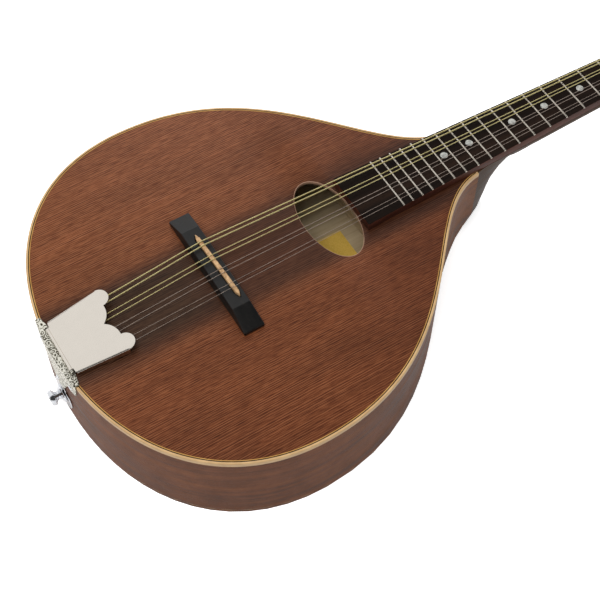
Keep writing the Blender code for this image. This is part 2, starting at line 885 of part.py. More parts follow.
def cover_outline():
    """Cover seen on its face, anticlockwise, with the hinge axis on y = 0."""
    rear = knuckle_radius * 0.65
    beside_ears = knuckle_radius + gap
    lobe = (cover_lobe_x, cover_length - cover_lobe_radius)
    half = [(barrel_reach(), rear), (barrel_reach(), beside_ears),
            (cover_rear_half, beside_ears + gap)]
    half += arc(lobe, cover_lobe_radius, -8, 178, 12)
    cusp = (0, cover_length - cover_cusp_back)
    half += bulged(half[-1], cusp, cover_arc_bulge, 8)
    return half + [cusp] + [(-x, y) for x, y in reversed(half)]


def build_cover(material, hinge):
    """Sheet cover: a sloping top with a flange down each side and a barrel on the pin."""
    top = knuckle_radius
    cover = flat_piece("tailpiece_cover", [cover_outline()], top - cover_thickness, top, material,
                       hinge)
    rear = 2 * knuckle_radius
    lobe_side = (cover_lobe_x + cover_lobe_radius, cover_length - cover_lobe_radius)
    for side in (-1, 1):
        slope = (lobe_side[0] - cover_rear_half) / (lobe_side[1])
        start_x = cover_rear_half + slope * rear
        inner = cover_thickness
        outline = [(start_x - tuck / 2, rear), (lobe_side[0] - 2 * tuck, lobe_side[1]),
                   (lobe_side[0] - inner, lobe_side[1]), (start_x - inner, rear)]
        flange = flat_piece("cover_flange_%d" % side, [for_side(side, outline)],
                            top - cover_flange, top - cover_thickness / 2, parent=hinge)
        for vertex in flange.data.vertices:
            if vertex.co.z < 0:
                share = (vertex.co.y - rear) / (lobe_side[1] - rear)
                vertex.co.z -= share * (cover_flange_front - cover_flange)
        join(cover, flange)
    reach = barrel_reach() - tuck / 2
    barrel = cylinder("cover_barrel", knuckle_radius - tuck / 2, -reach, reach, hinge)
    barrel.rotation_euler = (0, math.radians(90), 0)
    join(cover, barrel)
    bore = cylinder("cover_bore", hinge_pin_radius + gap, -base_rim_half, base_rim_half, hinge)
    bore.rotation_euler = (0, math.radians(90), 0)
    cut(cover, bore)


def build_hinge_pin(material):
    pin = turned_piece("tailpiece_hinge_pin",
                       [(0, base_top_half), (hinge_pin_radius, base_top_half),
                        (hinge_pin_radius, -base_top_half), (0, -base_top_half)], material)
    pin.location = hinge_axis()
    pin.rotation_euler = (0, math.radians(90), 0)


def build_strap_button(metal):
    """Button and its countersunk screw at the tail, along -Y."""
    recess = strap_screw_head + gap
    recess_floor = strap_recess - strap_length
    flange_end = strap_flange_at + strap_flange_edge
    button = turned_piece(
        "strap_button",
        [(strap_bore, 0), (strap_foot_radius, 0), (strap_foot_radius, -strap_foot_edge),
         ((strap_foot_radius + strap_waist_radius) / 2, -2 * strap_foot_edge),
         (strap_waist_radius, -strap_waist_at), (strap_head_radius, -strap_flange_at),
         (strap_head_radius, -flange_end), (strap_face_radius, -strap_length),
         (recess, -strap_length), (strap_bore, recess_floor)], metal, closed=True, steps=20)
    slope = (recess - strap_bore) / strap_recess
    screw_top = recess_floor - gap
    screw_rise = strap_recess - 2 * gap
    head_radius = strap_screw_radius + slope * screw_rise
    screw = turned_piece(
        "strap_button_screw",
        [(0, strap_screw_length), (strap_screw_radius, strap_screw_length - strap_screw_tip),
         (strap_screw_radius, screw_top), (head_radius, screw_top - screw_rise),
         (0, screw_top - screw_rise)], metal)
    for piece in (button, screw):
        piece.location = (0, tail_y - gap - base_thickness - gap, top_z - tab_depth)
        piece.rotation_euler = (math.radians(-90), 0, 0)


def build_bridge(material):
    """Bridge base with sloping ends and a seat for the saddle."""
    half = [(bridge_half_length, 0), (bridge_half_length, bridge_end_height),
            (bridge_middle_half, bridge_height)]
    y = nut_y - bridge_from_nut
    base = flat_piece("bridge_base", [mirrored(half)], -bridge_width / 2, bridge_width / 2,
                      material)
    for vertex in base.data.vertices:
        if vertex.co.y > bridge_end_height * 0.5:
            rise = (vertex.co.y - bridge_end_height) / (bridge_height - bridge_end_height)
            vertex.co.z *= 1 - rise * (1 - bridge_top_width / bridge_width)
    base.location = (0, y, top_z + gap)
    base.rotation_euler = (math.radians(90), 0, 0)
    seat_z = top_z + gap + bridge_height - saddle_seat
    cut(base, flat_piece("saddle_seat", [saddle_outline(gap)], seat_z, seat_z + bridge_height))


def saddle_outline(margin):
    """Saddle seen from above, slanted for the strings, with pointed ends."""
    half = saddle_half_length
    slope = (saddle_bass_from_nut - saddle_treble_from_nut) / (2 * half)
    middle = nut_y - (saddle_bass_from_nut + saddle_treble_from_nut) / 2
    reach = saddle_thickness / 2 + margin
    body = half - saddle_point
    local = [(-half - margin * 2, 0), (-body, -reach), (body, -reach), (half + margin * 2, 0),
             (body, reach), (-body, reach)]
    return [(x, middle + slope * x + y) for x, y in local]


def build_saddle(material):
    bottom = top_z + gap + bridge_height - saddle_seat + gap
    flat_piece("bridge_saddle", [saddle_outline(0)], bottom, saddle_top_z, material)


def saddle_y(x):
    slope = (saddle_bass_from_nut - saddle_treble_from_nut) / (2 * saddle_half_length)
    return nut_y - (saddle_bass_from_nut + saddle_treble_from_nut) / 2 + slope * x


def string_route(index, values, head_frame):
    """Points of one string: hook, saddle, nut, and round its post."""
    diameter, hook_x, saddle_x, nut_x = values
    radius = diameter / 2
    side = -1 if index < tuners_per_side else 1
    number = index if side < 0 else 2 * tuners_per_side - 1 - index
    hook_y = tail_y + hook_from_tail + hook_radius + gap
    points = [Vector((hook_x, hook_y, top_z + hook_string_height))]
    points.append(Vector((saddle_x, saddle_y(saddle_x), saddle_top_z + string_gap + radius)))
    points.append(Vector((nut_x, nut_y + gap, slot_z + string_gap + radius)))
    points.append(Vector((nut_x, nut_y + gap + nut_thickness, slot_z + string_gap + radius)))
    wrap = post_radius + gap + radius
    centre_y = first_tuner_at + tuner_spacing * number
    start_height = gap + veneer_thickness + wrap_height
    drop = diameter + wrap_space
    start = 180 if side > 0 else 0
    for i in range(wrap_points):
        turn = string_wraps * i / (wrap_points - 1)
        angle = math.radians(start + side * -360 * turn)
        local = Vector((side * post_x + wrap * math.cos(angle), centre_y + wrap * math.sin(angle),
                        start_height - drop * turn))
        points.append(head_frame.matrix_world @ local)
    return radius, points


def build_strings(wound, plain, head_frame):
    """Eight taut strings as round wires."""
    bpy.context.view_layer.update()
    for index, (name, values) in enumerate(strings.items()):
        radius, points = string_route(index, values, head_frame)
        curve = bpy.data.curves.new(name, "CURVE")
        curve.dimensions = "3D"
        curve.bevel_depth = radius
        curve.bevel_resolution = 1
        curve.use_fill_caps = True
        spline = curve.splines.new("POLY")
        spline.points.add(len(points) - 1)
        for point, place_on_route in zip(spline.points, points):
            point.co = (*place_on_route, 1)
        place(name, curve, wound if index < tuners_per_side else plain)


def worm_axis_offset():
    """Distance from a post's axis to its worm shaft."""
    return gear_tip_radius + worm_radius + gap


def gear_level():
    """Middle height of the gears and worms under the headstock, in its frame."""
    return -head_thickness - gap - plate_thickness - gap - max(gear_thickness / 2, worm_radius)


def build_tuner_plates(material, head_frame):
    """Plates with two ears for each worm shaft."""
    top = -head_thickness - gap
    bottom = top - plate_thickness
    length = tuner_spacing * (tuners_per_side - 1)
    start = first_tuner_at - worm_axis_offset() - plate_margin
    end = first_tuner_at + length + plate_margin + gear_tip_radius
    for side_name, side in (("bass", -1), ("treble", 1)):
        inner = post_x - plate_half_width
        outer = post_x + plate_half_width
        outline = [(inner, start), (outer, start), (outer, end), (inner, end)]
        holes = [ellipse((x, y), post_radius + gap, post_radius + gap, turned_steps)
                 for _, s, _, x, y in post_places() if s == side]
        plate = flat_piece("tuner_plate_" + side_name, [for_side(side, outline), *holes], bottom,
                           top, material, head_frame)
        for _, s, number, x, y in post_places():
            if s == side:
                add_shaft_ears(plate, side_name, side, number, y, bottom, head_frame)


def add_shaft_ears(plate, side_name, side, number, post_y, plate_bottom, head_frame):
    """Two ears that hold one worm shaft."""
    y = post_y - worm_axis_offset()
    low_z = gear_level() - shaft_radius - ear_margin
    ear_places = (post_x - worm_half_length - gap - ear_thickness, post_x + worm_half_length + gap)
    for end, start_x in zip(("inner", "outer"), ear_places):
        low_x, high_x = sorted((side * start_x, side * (start_x + ear_thickness)))
        low = (low_x, y - ear_half_width, low_z)
        high = (high_x, y + ear_half_width, plate_bottom + plate_thickness / 2)
        name = "ear_%s_%s_%d" % (end, side_name, number)
        join(plate, box(name, low, high, parent=head_frame))
    reach = worm_half_length + gap + ear_thickness + overrun
    bore = cylinder("shaft_bore_%s_%d" % (side_name, number), shaft_radius + gap, -reach, reach,
                    head_frame, steps=8)
    bore.location = (side * post_x, y, gear_level())
    bore.rotation_euler = (0, math.radians(90), 0)
    cut(plate, bore)


def worm_profile():
    """Ring grooves of the worm, outward along the shaft."""
    pitch = 2 * worm_half_length / worm_turns
    profile = []
    for turn in range(worm_turns):
        start = -worm_half_length + pitch * turn
        profile.append((worm_radius - worm_groove, start))
        profile.append((worm_radius, start + pitch * 0.35))
        profile.append((worm_radius, start + pitch * 0.65))
    profile.append((worm_radius - worm_groove, worm_half_length))
    return profile


def button_profile():
    """Worm, shaft and oval button along +Z, from the inner end of the shaft."""
    inner_end = -worm_half_length - gap - ear_thickness - shaft_end
    button_start = head_wide_half + button_to_edge - post_x
    profile = [(0, inner_end), (shaft_radius, inner_end), (shaft_radius, -worm_half_length)]
    profile += worm_profile()
    profile += [(shaft_radius, worm_half_length), (shaft_radius, button_start)]
    bulge = 6
    for i in range(1, bulge):
        t = i / bulge
        profile.append((shaft_radius + (button_radius - shaft_radius) * math.sin(math.pi * t) ** 0.6,
                        button_start + button_length * t))
    profile.append((0, button_start + button_length))
    return profile, button_start


def button_mesh():
    """One turned button with its worm, flattened at the button."""
    profile, button_start = button_profile()
    drawn = turned_piece("button_turning", list(reversed(profile)), steps=10)
    bpy.context.view_layer.update()
    graph = bpy.context.evaluated_depsgraph_get()
    mesh = bpy.data.meshes.new_from_object(drawn.evaluated_get(graph))
    bpy.data.objects.remove(drawn)
    for vertex in mesh.vertices:
        if vertex.co.z > button_start + tuck:
            vertex.co.y *= button_flatness
    return mesh


def gear_outline():
    """Round gear with trapezoid teeth."""
    points = []
    step = 2 * math.pi / gear_teeth
    for tooth in range(gear_teeth):
        for share, radius in ((0.0, gear_root_radius), (0.3, gear_tip_radius),
                              (0.7, gear_tip_radius)):
            angle = (tooth + share) * step
            points.append((radius * math.cos(angle), radius * math.sin(angle)))
    return points


def post_mesh():
    """One string post with its gear, the post's axis on Z in the headstock's frame."""
    top = gap + veneer_thickness + post_height
    level = gear_level()
    foot = level - gear_thickness / 2 - post_foot
    profile = [(0, top), (post_radius - post_chamfer, top), (post_radius, top - post_chamfer),
               (post_radius, level), (post_radius - post_chamfer, foot), (0, foot)]
    drawn = turned_piece("post_turning", profile)
    gear = flat_piece("gear", [gear_outline()], level - gear_thickness / 2,
                      level + gear_thickness / 2)
    join(drawn, gear)
    bpy.context.view_layer.update()
    graph = bpy.context.evaluated_depsgraph_get()
    mesh = bpy.data.meshes.new_from_object(drawn.evaluated_get(graph))
    bpy.data.objects.remove(drawn)
    bpy.data.objects.remove(gear)
    return mesh


def build_tuners(button_material, metal, head_frame):
    """Eight buttons on worm shafts and eight posts with gears."""
    button = button_mesh()
    button.materials.clear()
    button.materials.append(button_material)
    post = post_mesh()
    post.materials.clear()
    post.materials.append(metal)
    for side_name, side, number, x, y in post_places():
        turner = place("tuner_button_%s_%d" % (side_name, number), button, parent=head_frame)
        turner.location = (x, y - worm_axis_offset(), gear_level())
        turner.rotation_euler = (0, side * math.radians(90), 0)
        turned = place("string_post_%s_%d" % (side_name, number), post, parent=head_frame)
        turned.location = (x, y, 0)


def make_frame(name, location, angle):
    """Empty that a sloping group of pieces hangs on."""
    frame = bpy.data.objects.new(name, None)
    collection.objects.link(frame)
    frame.matrix_world = Matrix.Translation(location) @ Matrix.Rotation(angle, 4, "X")
    bpy.context.view_layer.update()
    return frame


def build():
    for old in list(bpy.data.objects):
        bpy.data.objects.remove(old)
    bpy.context.scene.collection.children.link(collection)
    bpy.context.scene.collection.children.link(cutters)

    stained_top = finish("stained_top", (0.21, 0.065, 0.035), 0.4)
    mahogany = finish("mahogany", (0.13, 0.07, 0.05), 0.4)
    inner_wood = finish("inner_wood", (0.40, 0.25, 0.14), 0.7)
    cream = finish("cream_binding", (0.52, 0.36, 0.18), 0.45)
    dark_line = finish("dark_line", (0.03, 0.02, 0.015), 0.5)
    rosewood = finish("rosewood", (0.045, 0.025, 0.02), 0.45)
    ebony = finish("ebony", (0.02, 0.02, 0.02), 0.35)
    bone = finish("bone", (0.55, 0.40, 0.25), 0.5)
    paper = finish("label_paper", (0.60, 0.42, 0.08), 0.8)
    nickel = finish("nickel", (0.75, 0.72, 0.68), 0.2, 1.0)
    silver = finish("embossed_silver", (0.55, 0.54, 0.48), 0.35, 1.0)
    chrome = finish("chrome", (0.8, 0.8, 0.82), 0.1, 1.0)
    steel = finish("plain_steel", (0.55, 0.55, 0.53), 0.3, 1.0)
    bronze = finish("bronze_winding", (0.70, 0.55, 0.22), 0.35, 1.0)
    pearl = finish("button_pearl", (0.75, 0.73, 0.68), 0.3)

    head_frame = make_frame("headstock_frame", (0, head_y, top_z), -head_angle)
    hinge = make_frame("cover_hinge", hinge_axis(), cover_slope)

    build_back(mahogany)
    build_rims(mahogany)
    build_binding(cream)
    build_soundboard(stained_top)
    build_purfling(dark_line)
    build_blocks(inner_wood)
    build_linings(inner_wood)
    build_braces(inner_wood)
    build_centre_strip(inner_wood)
    build_soundhole_patch(inner_wood)
    build_label(paper)
    build_neck(mahogany, head_frame)
    build_neck_bar(steel)
    build_veneer(rosewood, head_frame)
    build_fingerboard(rosewood)
    build_nut(bone)
    build_tailpiece_base(silver)
    build_cover(nickel, hinge)
    build_hinge_pin(nickel)
    build_strap_button(chrome)
    build_bridge(ebony)
    build_saddle(bone)
    build_strings(bronze, steel, head_frame)
    build_tuner_plates(nickel, head_frame)
    build_tuners(pearl, nickel, head_frame)


build()
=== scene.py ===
"""Looks of the flat-back teardrop mandolin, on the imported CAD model's frame.

Metres, in the CAD's frame: +Z up out of the soundboard, +Y to the headstock, bass side at -X.
"""
import math

import bmesh
import bpy
from mathutils import Matrix, Vector


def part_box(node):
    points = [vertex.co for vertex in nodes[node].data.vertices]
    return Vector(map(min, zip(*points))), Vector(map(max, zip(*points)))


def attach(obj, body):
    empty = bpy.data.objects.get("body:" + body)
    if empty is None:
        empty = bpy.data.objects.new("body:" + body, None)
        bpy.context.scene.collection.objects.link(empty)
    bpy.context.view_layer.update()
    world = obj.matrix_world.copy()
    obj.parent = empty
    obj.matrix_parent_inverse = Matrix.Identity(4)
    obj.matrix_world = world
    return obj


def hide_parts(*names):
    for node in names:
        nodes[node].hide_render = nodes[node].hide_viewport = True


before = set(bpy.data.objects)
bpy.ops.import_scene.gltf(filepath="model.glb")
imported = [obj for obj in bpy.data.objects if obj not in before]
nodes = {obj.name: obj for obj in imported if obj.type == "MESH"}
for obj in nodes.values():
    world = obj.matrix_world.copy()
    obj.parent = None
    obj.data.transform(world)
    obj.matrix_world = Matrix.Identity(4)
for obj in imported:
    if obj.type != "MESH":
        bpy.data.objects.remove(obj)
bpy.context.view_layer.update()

# Places read from the CAD
tail_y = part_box("back")[0].y
joint_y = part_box("back")[1].y
body_half_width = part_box("back")[1].x
back_top_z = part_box("back")[1].z
top_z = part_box("soundboard")[1].z
top_under_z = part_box("soundboard")[0].z
nut_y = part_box("fingerboard")[1].y
board_bottom_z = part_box("fingerboard")[0].z
fret_plane_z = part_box("fingerboard")[1].z
saddle_top_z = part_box("bridge_saddle")[1].z
rim_bottom_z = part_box("rim_treble")[0].z

# Sizes shared with the CAD
gap = 0.0003
inlay_gap = 0.0001
widest_from_tail = 0.1239
heel_flat_half = 0.0223
tail_handle = 0.075
lower_side_handle = 0.0841
upper_side_handle = 0.1212
neck_handle = (0.0044, 0.0553)
foot_tuck = 0.0071         # the sides turn in by this much at the heel's foot
foot_tuck_height = 0.025   # and from this height down
foot_tuck_length = 0.0269
foot_tuck_power = 1.5
rim_thickness = 0.0022
binding_width = 0.0016
binding_height = 0.0036
purfling_width = 0.0012
purfling_depth = 0.001
hole_from_nut = 0.2675
hole_half_x = 0.0356
hole_half_y = 0.0186
scale_length = 0.350
nut_half_width = 0.01535
width_gain = 0.0321
board_length = 0.2493
fret_height = 0.001
fret_count = 17
nut_thickness = 0.005
string_over_frets_at_nut = 0.0006
head_angle = math.radians(14)
veneer_thickness = 0.0017
first_post_at = 0.032
post_spacing = 0.023
post_x = 0.017
post_radius = 0.003
hook_from_tail = 0.0295
hook_radius = 0.001
hook_string_height = 0.0029
string_gap = 0.0001
string_wraps = 1.3
wrap_height = 0.0056
tab_depth = 0.052
strap_head_radius = 0.00585
strap_bore = 0.0021
base_thickness = 0.0008
base_top_half = 0.0205
base_front_from_tail = 0.034
base_rim_half = 0.030
base_shoulder = 0.0035
base_shoulder_slope = 0.002
base_tab_radius = 0.0126
screw_lobe_x = 0.0224
screw_lobe_depth = 0.010
screw_lobe_radius = 0.0062
skirt_side_depth = 0.004
skirt_steps = [(0.0075, 0.033), (0.0118, 0.023), (0.0172, 0.0145)]
skirt_bulge = 0.0012
hook_height = 0.0033
hinge_from_tail = 0.005
hinge_pin_radius = 0.0005
knuckle_radius = 0.0012
knuckle_width = 0.0020
cover_length = 0.0462
cover_rear_half = 0.0224
cover_lobe_x = 0.0195
cover_lobe_radius = 0.0067
cover_cusp_back = 0.0125
cover_arc_bulge = 0.0019
cover_thickness = 0.0008
cover_flange = 0.0032
cover_flange_front = 0.0058
cover_slope = math.radians(5)

# Camera, lamps and surroundings
camera_lens = 78.708
camera_clip = (0.02, 60)
camera_place = (0.4455, nut_y - 0.5666, top_z + 0.7544)
camera_right = (0.51885, 0.85484, 0.00579)
camera_forward = (-0.44824, 0.27781, -0.84965)
lamp_target = (0, -0.1, 0.05)
lamps = {"key": ((-1.5, 0.5, 0.85), (1.0, 0.9), 20),        # place, size, power
         "overhead": ((0.3, -0.7, 1.8), (1.0, 1.0), 25)}
room_light = 0.40          # of the surroundings on matt surfaces
dark_reflection = 0.05     # what gloss shows of the dark side
dark_towards = (-0.30, 0.12)
dark_above = (0.16, 0.34)
floor_lift = 0.64          # keeps the floor white for the camera
floor_grey = 0.93
floor_reach = 12.0
floor_drop = 0.0002

# Tones of the woods, with painted shade on the top's treble side and a painted sheen on the ribs: where
# each starts and ends
neck_end_shade = (nut_y - 0.34, nut_y - 0.193)
treble_painted_shade = (0.03, 0.05)
string_band = (0.028, 0.047)
tail_band = (0.020, 0.034)
tail_band_end = (tail_y + 0.09, tail_y + 0.14)
grain_wander = 0.006
band_wander = 0.006
# Painted sheen on the ribs towards the neck: where it starts, and its length
rib_painted_sheen_start = nut_y - 0.27
rib_painted_sheen_length = 0.07
inside_depth = 0.0002
inside_fade = 0.0001

# Relief of the surfaces
grain_relief = 0.00006
pore_relief = 0.00005
ebony_relief = 0.00002
grit_relief = 0.00002
pearl_relief = 0.00002
marks_relief = 0.000004
winding_relief = 0.000004
emboss_relief = 0.00012
press_fade = 0.0004

# Shading is smooth up to these angles between faces, in degrees
smooth_angle = 40
fine_angle = 12
turned_angle = 35
fret_angle = 50
flat_angle = 0.5           # faces within it are one flat face

# Sizes of this script's own detail
corner_distance = 0.000002
weld_distance = 0.000001
cut_distance = 0.0000001
binding_round = 0.0007
thin_round = 0.0002
board_round = 0.0003
sheet_round = 0.00025
bend_step = 0.001
small_bevel = 0.0003
bridge_bevel = 0.0005
plate_bevel = 0.0002
fret_sink = 0.0003
fret_crown_power = 0.8
fret_end = ((0, 0.25), (0.0003, 0.8), (0.0008, 1))   # distance from the end, share of height
dot_thickness = 0.001
dot_rise = 0.00004
dot_round = 0.00002
dot_points = 40
saddle_lean = 0.0023
loop_drop = 0.0004
loop_exit = 0.004
loop_exit_share = 0.4
loop_start = 70            # degrees round the hook
loop_sweep = 320
wrap_gain = 2.3            # turns round the post, to one of the CAD's
wrap_pitch = 1.03          # to the string's diameter
twist_reach = 1.9          # to the string's radius
hook_tip = ((1, 0.0006), (0.7, 0.0001), (0, 0))      # share of radius, depth below the tip
screw_radius = 0.0019
screw_dome = 0.0008
screw_sink = 0.0002
screw_side = ((0.85, 0.65), (0.5, 0.93))        # shares of radius and dome
middle_screw_depth = 0.029
tab_arc = (-90, 58)        # degrees
screw_lobe_arc = (215, 360)
cover_lobe_arc = (4, 178)
cover_shoulder_back = 0.001
cover_shoulder_in = 0.0002
cover_roll_cut = 0.65
flange_round = 0.0002
flange_chamfer = 0.0003
strap_recess = 0.0016
strap_recess_depth = 0.0025
strap_side = ((0.0070, 0), (0.0070, 0.0006), (0.0060, 0.0012), (0.0040, 0.0024), (0.0031, 0.0042),
              (0.0042, 0.0058), (0.0057, 0.0067), (strap_head_radius, 0.0074),
              (strap_head_radius - 0.0003, 0.0086))
strap_face_radius = 0.0050
outline_steps = 56
hole_points = 128
bend_radius = 0.0009       # where the cover's sides turn down
hole_edge_line = 0.0003    # a lighter line round the soundhole
tab_plain_depth = 0.0385   # the base is smooth below this depth
dot_radius = 0.0028
fret_crown_width = 0.0015
loop_steps = 12
bushing_radius = 0.0047
bushing_height = 0.0008
twist_length = 0.0075      # of the string's end, wound round itself beside its hook
twist_pitch = 0.0011
dot_frets = (3, 5, 7, 10, 12)

# Strings, bass to treble: diameter, and the distance from the centre line at the hook,
# the saddle and the nut
strings = {
    "string_g1": (0.0010, -0.0200, -0.0215, -0.0124),
    "string_g2": (0.0010, -0.0154, -0.0180, -0.0100),
    "string_d1": (0.0007, -0.0081, -0.0082, -0.0052),
    "string_d2": (0.0007, -0.0038, -0.0046, -0.0028),
    "string_a1": (0.0004, 0.0038, 0.0046, 0.0028),
    "string_a2": (0.0004, 0.0081, 0.0082, 0.0052),
    "string_e1": (0.0003, 0.0154, 0.0180, 0.0100),
    "string_e2": (0.0003, 0.0200, 0.0215, 0.0124),
}


def srgb(red, green, blue):
    """Linear colour of an 8-bit one."""
    linear = []
    for value in (red, green, blue):
        share = value / 255
        linear.append(share / 12.92 if share <= 0.04045 else ((share + 0.055) / 1.055) ** 2.4)
    return (*linear, 1)


def plug(tree, socket, value):
    """Link a socket to another one, or set its plain value."""
    if isinstance(value, bpy.types.NodeSocket):
        tree.links.new(value, socket)
    else:
        socket.default_value = value


def add_node(tree, kind, inputs=None, **settings):
    """New node; inputs that are sockets get linked, others are set."""
    made = tree.nodes.new(kind)
    for name, value in settings.items():
        setattr(made, name, value)
    for name, value in (inputs or {}).items():
        plug(tree, made.inputs[name], value)
    return made


def add(tree, kind, inputs=None, **settings):
    """New shader node."""
    return add_node(tree, "ShaderNode" + kind, inputs, **settings)


def new_material(name, **values):
    """Principled material with its plain values set on the shader."""
    material = bpy.data.materials.new(name)
    material.use_nodes = True
    tree = material.node_tree
    shader = tree.nodes["Principled BSDF"]
    for key, value in values.items():
        shader.inputs[key.replace("_", " ")].default_value = value
    return material, tree


def stretched(tree, scale=(1, 1, 1), source="Object"):
    """Texture coordinates scaled along each axis, in units per metre."""
    coordinates = add(tree, "TexCoord")
    return add(tree, "Mapping", {"Vector": coordinates.outputs[source], "Scale": scale}).outputs[0]


def noise(tree, scale, detail=3.0, roughness=0.55, source="Object"):
    """Value noise whose scale may differ along each axis."""
    vector = stretched(tree, scale, source)
    made = add(tree, "TexNoise", {"Vector": vector, "Scale": 1.0, "Detail": detail,
                                  "Roughness": roughness})
    return made.outputs[0]


def ramp(tree, factor, stops):
    """Colour ramp from (position, colour) stops; a colour of three numbers is an 8-bit one."""
    made = add(tree, "ValToRGB", {0: factor})
    elements = made.color_ramp.elements
    while len(elements) < len(stops):
        elements.new(0.5)
    for element, (position, colour) in zip(elements, stops):
        element.position = position
        element.color = srgb(*colour) if len(colour) == 3 else colour
    return made.outputs[0]


def spread(tree, value, low, high, new_low=0.0, new_high=1.0, smooth=True):
    """Remap a value between two limits."""
    made = add(tree, "MapRange", {"Value": value, "From Min": low, "From Max": high,
                                  "To Min": new_low, "To Max": new_high})
    made.interpolation_type = "SMOOTHSTEP" if smooth else "LINEAR"
    return made.outputs[0]


def blend_colours(tree, factor, first, second, kind="MIX"):
    inputs = {0: factor, 6: first, 7: second}
    return add(tree, "Mix", inputs, data_type="RGBA", blend_type=kind).outputs[2]


def tinted(tree, colour, tint, factor=1.0):
    """Colour multiplied by a tint."""
    return blend_colours(tree, factor, colour, tint, "MULTIPLY")


def math_node(tree, operation, *values):
    return add(tree, "Math", dict(enumerate(values)), operation=operation).outputs[0]


def plus(tree, first, second):
    return math_node(tree, "ADD", first, second)


def times(tree, first, second):
    return math_node(tree, "MULTIPLY", first, second)


def weighted(tree, first, share, second):
    """Sum of two values, of which the first has this share."""
    return plus(tree, times(tree, first, share), times(tree, second, 1 - share))


def finish_surface(material, colour, height, relief, rough=None):
    """Colour, small relief in metres and, if given, roughness of a material."""
    tree = material.node_tree
    shader = tree.nodes["Principled BSDF"]
    plug(tree, shader.inputs["Base Color"], colour)
    if rough is not None:
        plug(tree, shader.inputs["Roughness"], rough)
    made = add(tree, "Bump", {"Height": height, "Distance": relief})
    plug(tree, shader.inputs["Normal"], made.outputs[0])
    return material


def axis_of(tree, axis, source="Object"):
    coordinates = add(tree, "TexCoord")
    return add(tree, "SeparateXYZ", {0: coordinates.outputs[source]}).outputs[axis]


def soundboard_material():
    """Stained straight-grained softwood. It is darker along the strings and towards the neck, with painted
    shade on its treble side.
    """
    material, tree = new_material("stained_top_wood", Specular_IOR_Level=0.17)
    across = axis_of(tree, "X")
    shifted = plus(tree, across, times(tree, noise(tree, (14, 1.6, 1), 1.0), grain_wander))
    rings = add(tree, "TexNoise", {"W": times(tree, shifted, 1500.0), "Scale": 1.0,
                                   "Detail": 2.0, "Roughness": 0.6}, noise_dimensions="1D").outputs[0]
    fibre = noise(tree, (1500, 120, 1), 2.0)
    winter = math_node(tree, "SINE", times(tree, shifted, 4300.0))
    line = plus(tree, weighted(tree, rings, 0.6, fibre), times(tree, winter, 0.06))
    colour = ramp(tree, line, [(0.37, (60, 26, 12)), (0.46, (98, 54, 30)), (0.54, (119, 71, 44)),
                               (0.64, (136, 86, 56))])
    blotch = ramp(tree, noise(tree, (34, 9, 1), 5.0, 0.7),
                  [(0.3, (0.70, 0.68, 0.66, 1)), (0.7, (1.16, 1.15, 1.14, 1))])
    colour = tinted(tree, colour, blotch)
    end_shade = spread(tree, axis_of(tree, "Y"), *neck_end_shade)
    colour = tinted(tree, colour, (0.70, 0.64, 0.61, 1), end_shade)
    # Painted shade: the treble side of the top darker
    colour = tinted(tree, colour, (0.86, 0.80, 0.76, 1), spread(tree, across, *treble_painted_shade))
    edge_wander = times(tree, noise(tree, (30, 12, 1), 2.0), band_wander)
    wandered = plus(tree, math_node(tree, "ABSOLUTE", across), edge_wander)
    band = spread(tree, wandered, *string_band, 1.0, 0.0)
    colour = tinted(tree, colour, (0.39, 0.44, 0.55, 1), band)
    near_tail = times(tree, spread(tree, wandered, *tail_band, 1.0, 0.0),
                      spread(tree, axis_of(tree, "Y"), *tail_band_end, 1.0, 0.0))
    colour = tinted(tree, colour, (0.66, 0.86, 0.95, 1), near_tail)
    length = math_node(tree, "SUBTRACT", axis_of(tree, "Y"), nut_y - hole_from_nut)
    squares = [math_node(tree, "POWER", math_node(tree, "DIVIDE", place, half), 2.0)
               for place, half in ((across, hole_half_x), (length, hole_half_y))]
    from_hole = math_node(tree, "SQRT", plus(tree, *squares))
    edge = hole_edge_line / hole_half_y
    # Lighter along the soundhole's edge
    pale_edge = spread(tree, from_hole, 1 + edge * 0.7, 1 + edge, 1.0, 0.0)
    colour = blend_colours(tree, pale_edge, colour, srgb(158, 126, 104))
    rough = spread(tree, line, 0.3, 0.7, 0.44, 0.34)
    return finish_surface(material, colour, line, grain_relief, rough)


def pored_wood(name, dark, middle, light, along="Y", rough=(0.34, 0.5), source="Object",
               relief=pore_relief, gloss=0.3, clouds=0.0, painted_sheen_from=None, inside_z=None):
    """Open-pored hardwood whose grain runs along one axis."""
    material, tree = new_material(name, Specular_IOR_Level=gloss)

    def grain(fine, long, detail=3.0):
        scale = tuple(long if along == letter else fine for letter in "XYZ")
        return noise(tree, scale, detail, source=source)

    fibre = grain(1500, 40)
    mixed = weighted(tree, grain(150, 5), 0.7, fibre)
    colour = ramp(tree, mixed, [(0.34, dark), (0.5, middle), (0.66, light)])
    pore = spread(tree, grain(2600, 170, 1.0), 0.60, 0.70)
    colour = blend_colours(tree, times(tree, pore, 0.55), colour, srgb(*dark))
    if clouds:
        patches = ramp(tree, noise(tree, (60, 60, 60), 4.0, 0.65),
                       [(0.35, (1 - clouds, 1 - clouds * 1.1, 1 - clouds * 1.2, 1)),
                        (0.65, (1 + clouds, 1 + clouds, 1 + clouds, 1))])
        colour = tinted(tree, colour, patches)
    if painted_sheen_from is not None:
        # Painted sheen: the ribs paler and greyer towards the neck
        painted_sheen = spread(tree, axis_of(tree, "Y"), painted_sheen_from, painted_sheen_from + rib_painted_sheen_length)
        colour = tinted(tree, colour, (1.28, 1.36, 1.34, 1), painted_sheen)
    if inside_z is not None:
        raw = ramp(tree, mixed, [(0.34, (160, 140, 108)), (0.66, (196, 176, 142))])
        inside = spread(tree, axis_of(tree, "Z"), inside_z - inside_fade, inside_z)
        colour = blend_colours(tree, inside, colour, raw)
    height = math_node(tree, "SUBTRACT", times(tree, fibre, 0.4), pore)
    return finish_surface(material, colour, height, relief, spread(tree, mixed, 0.35, 0.65, *rough))


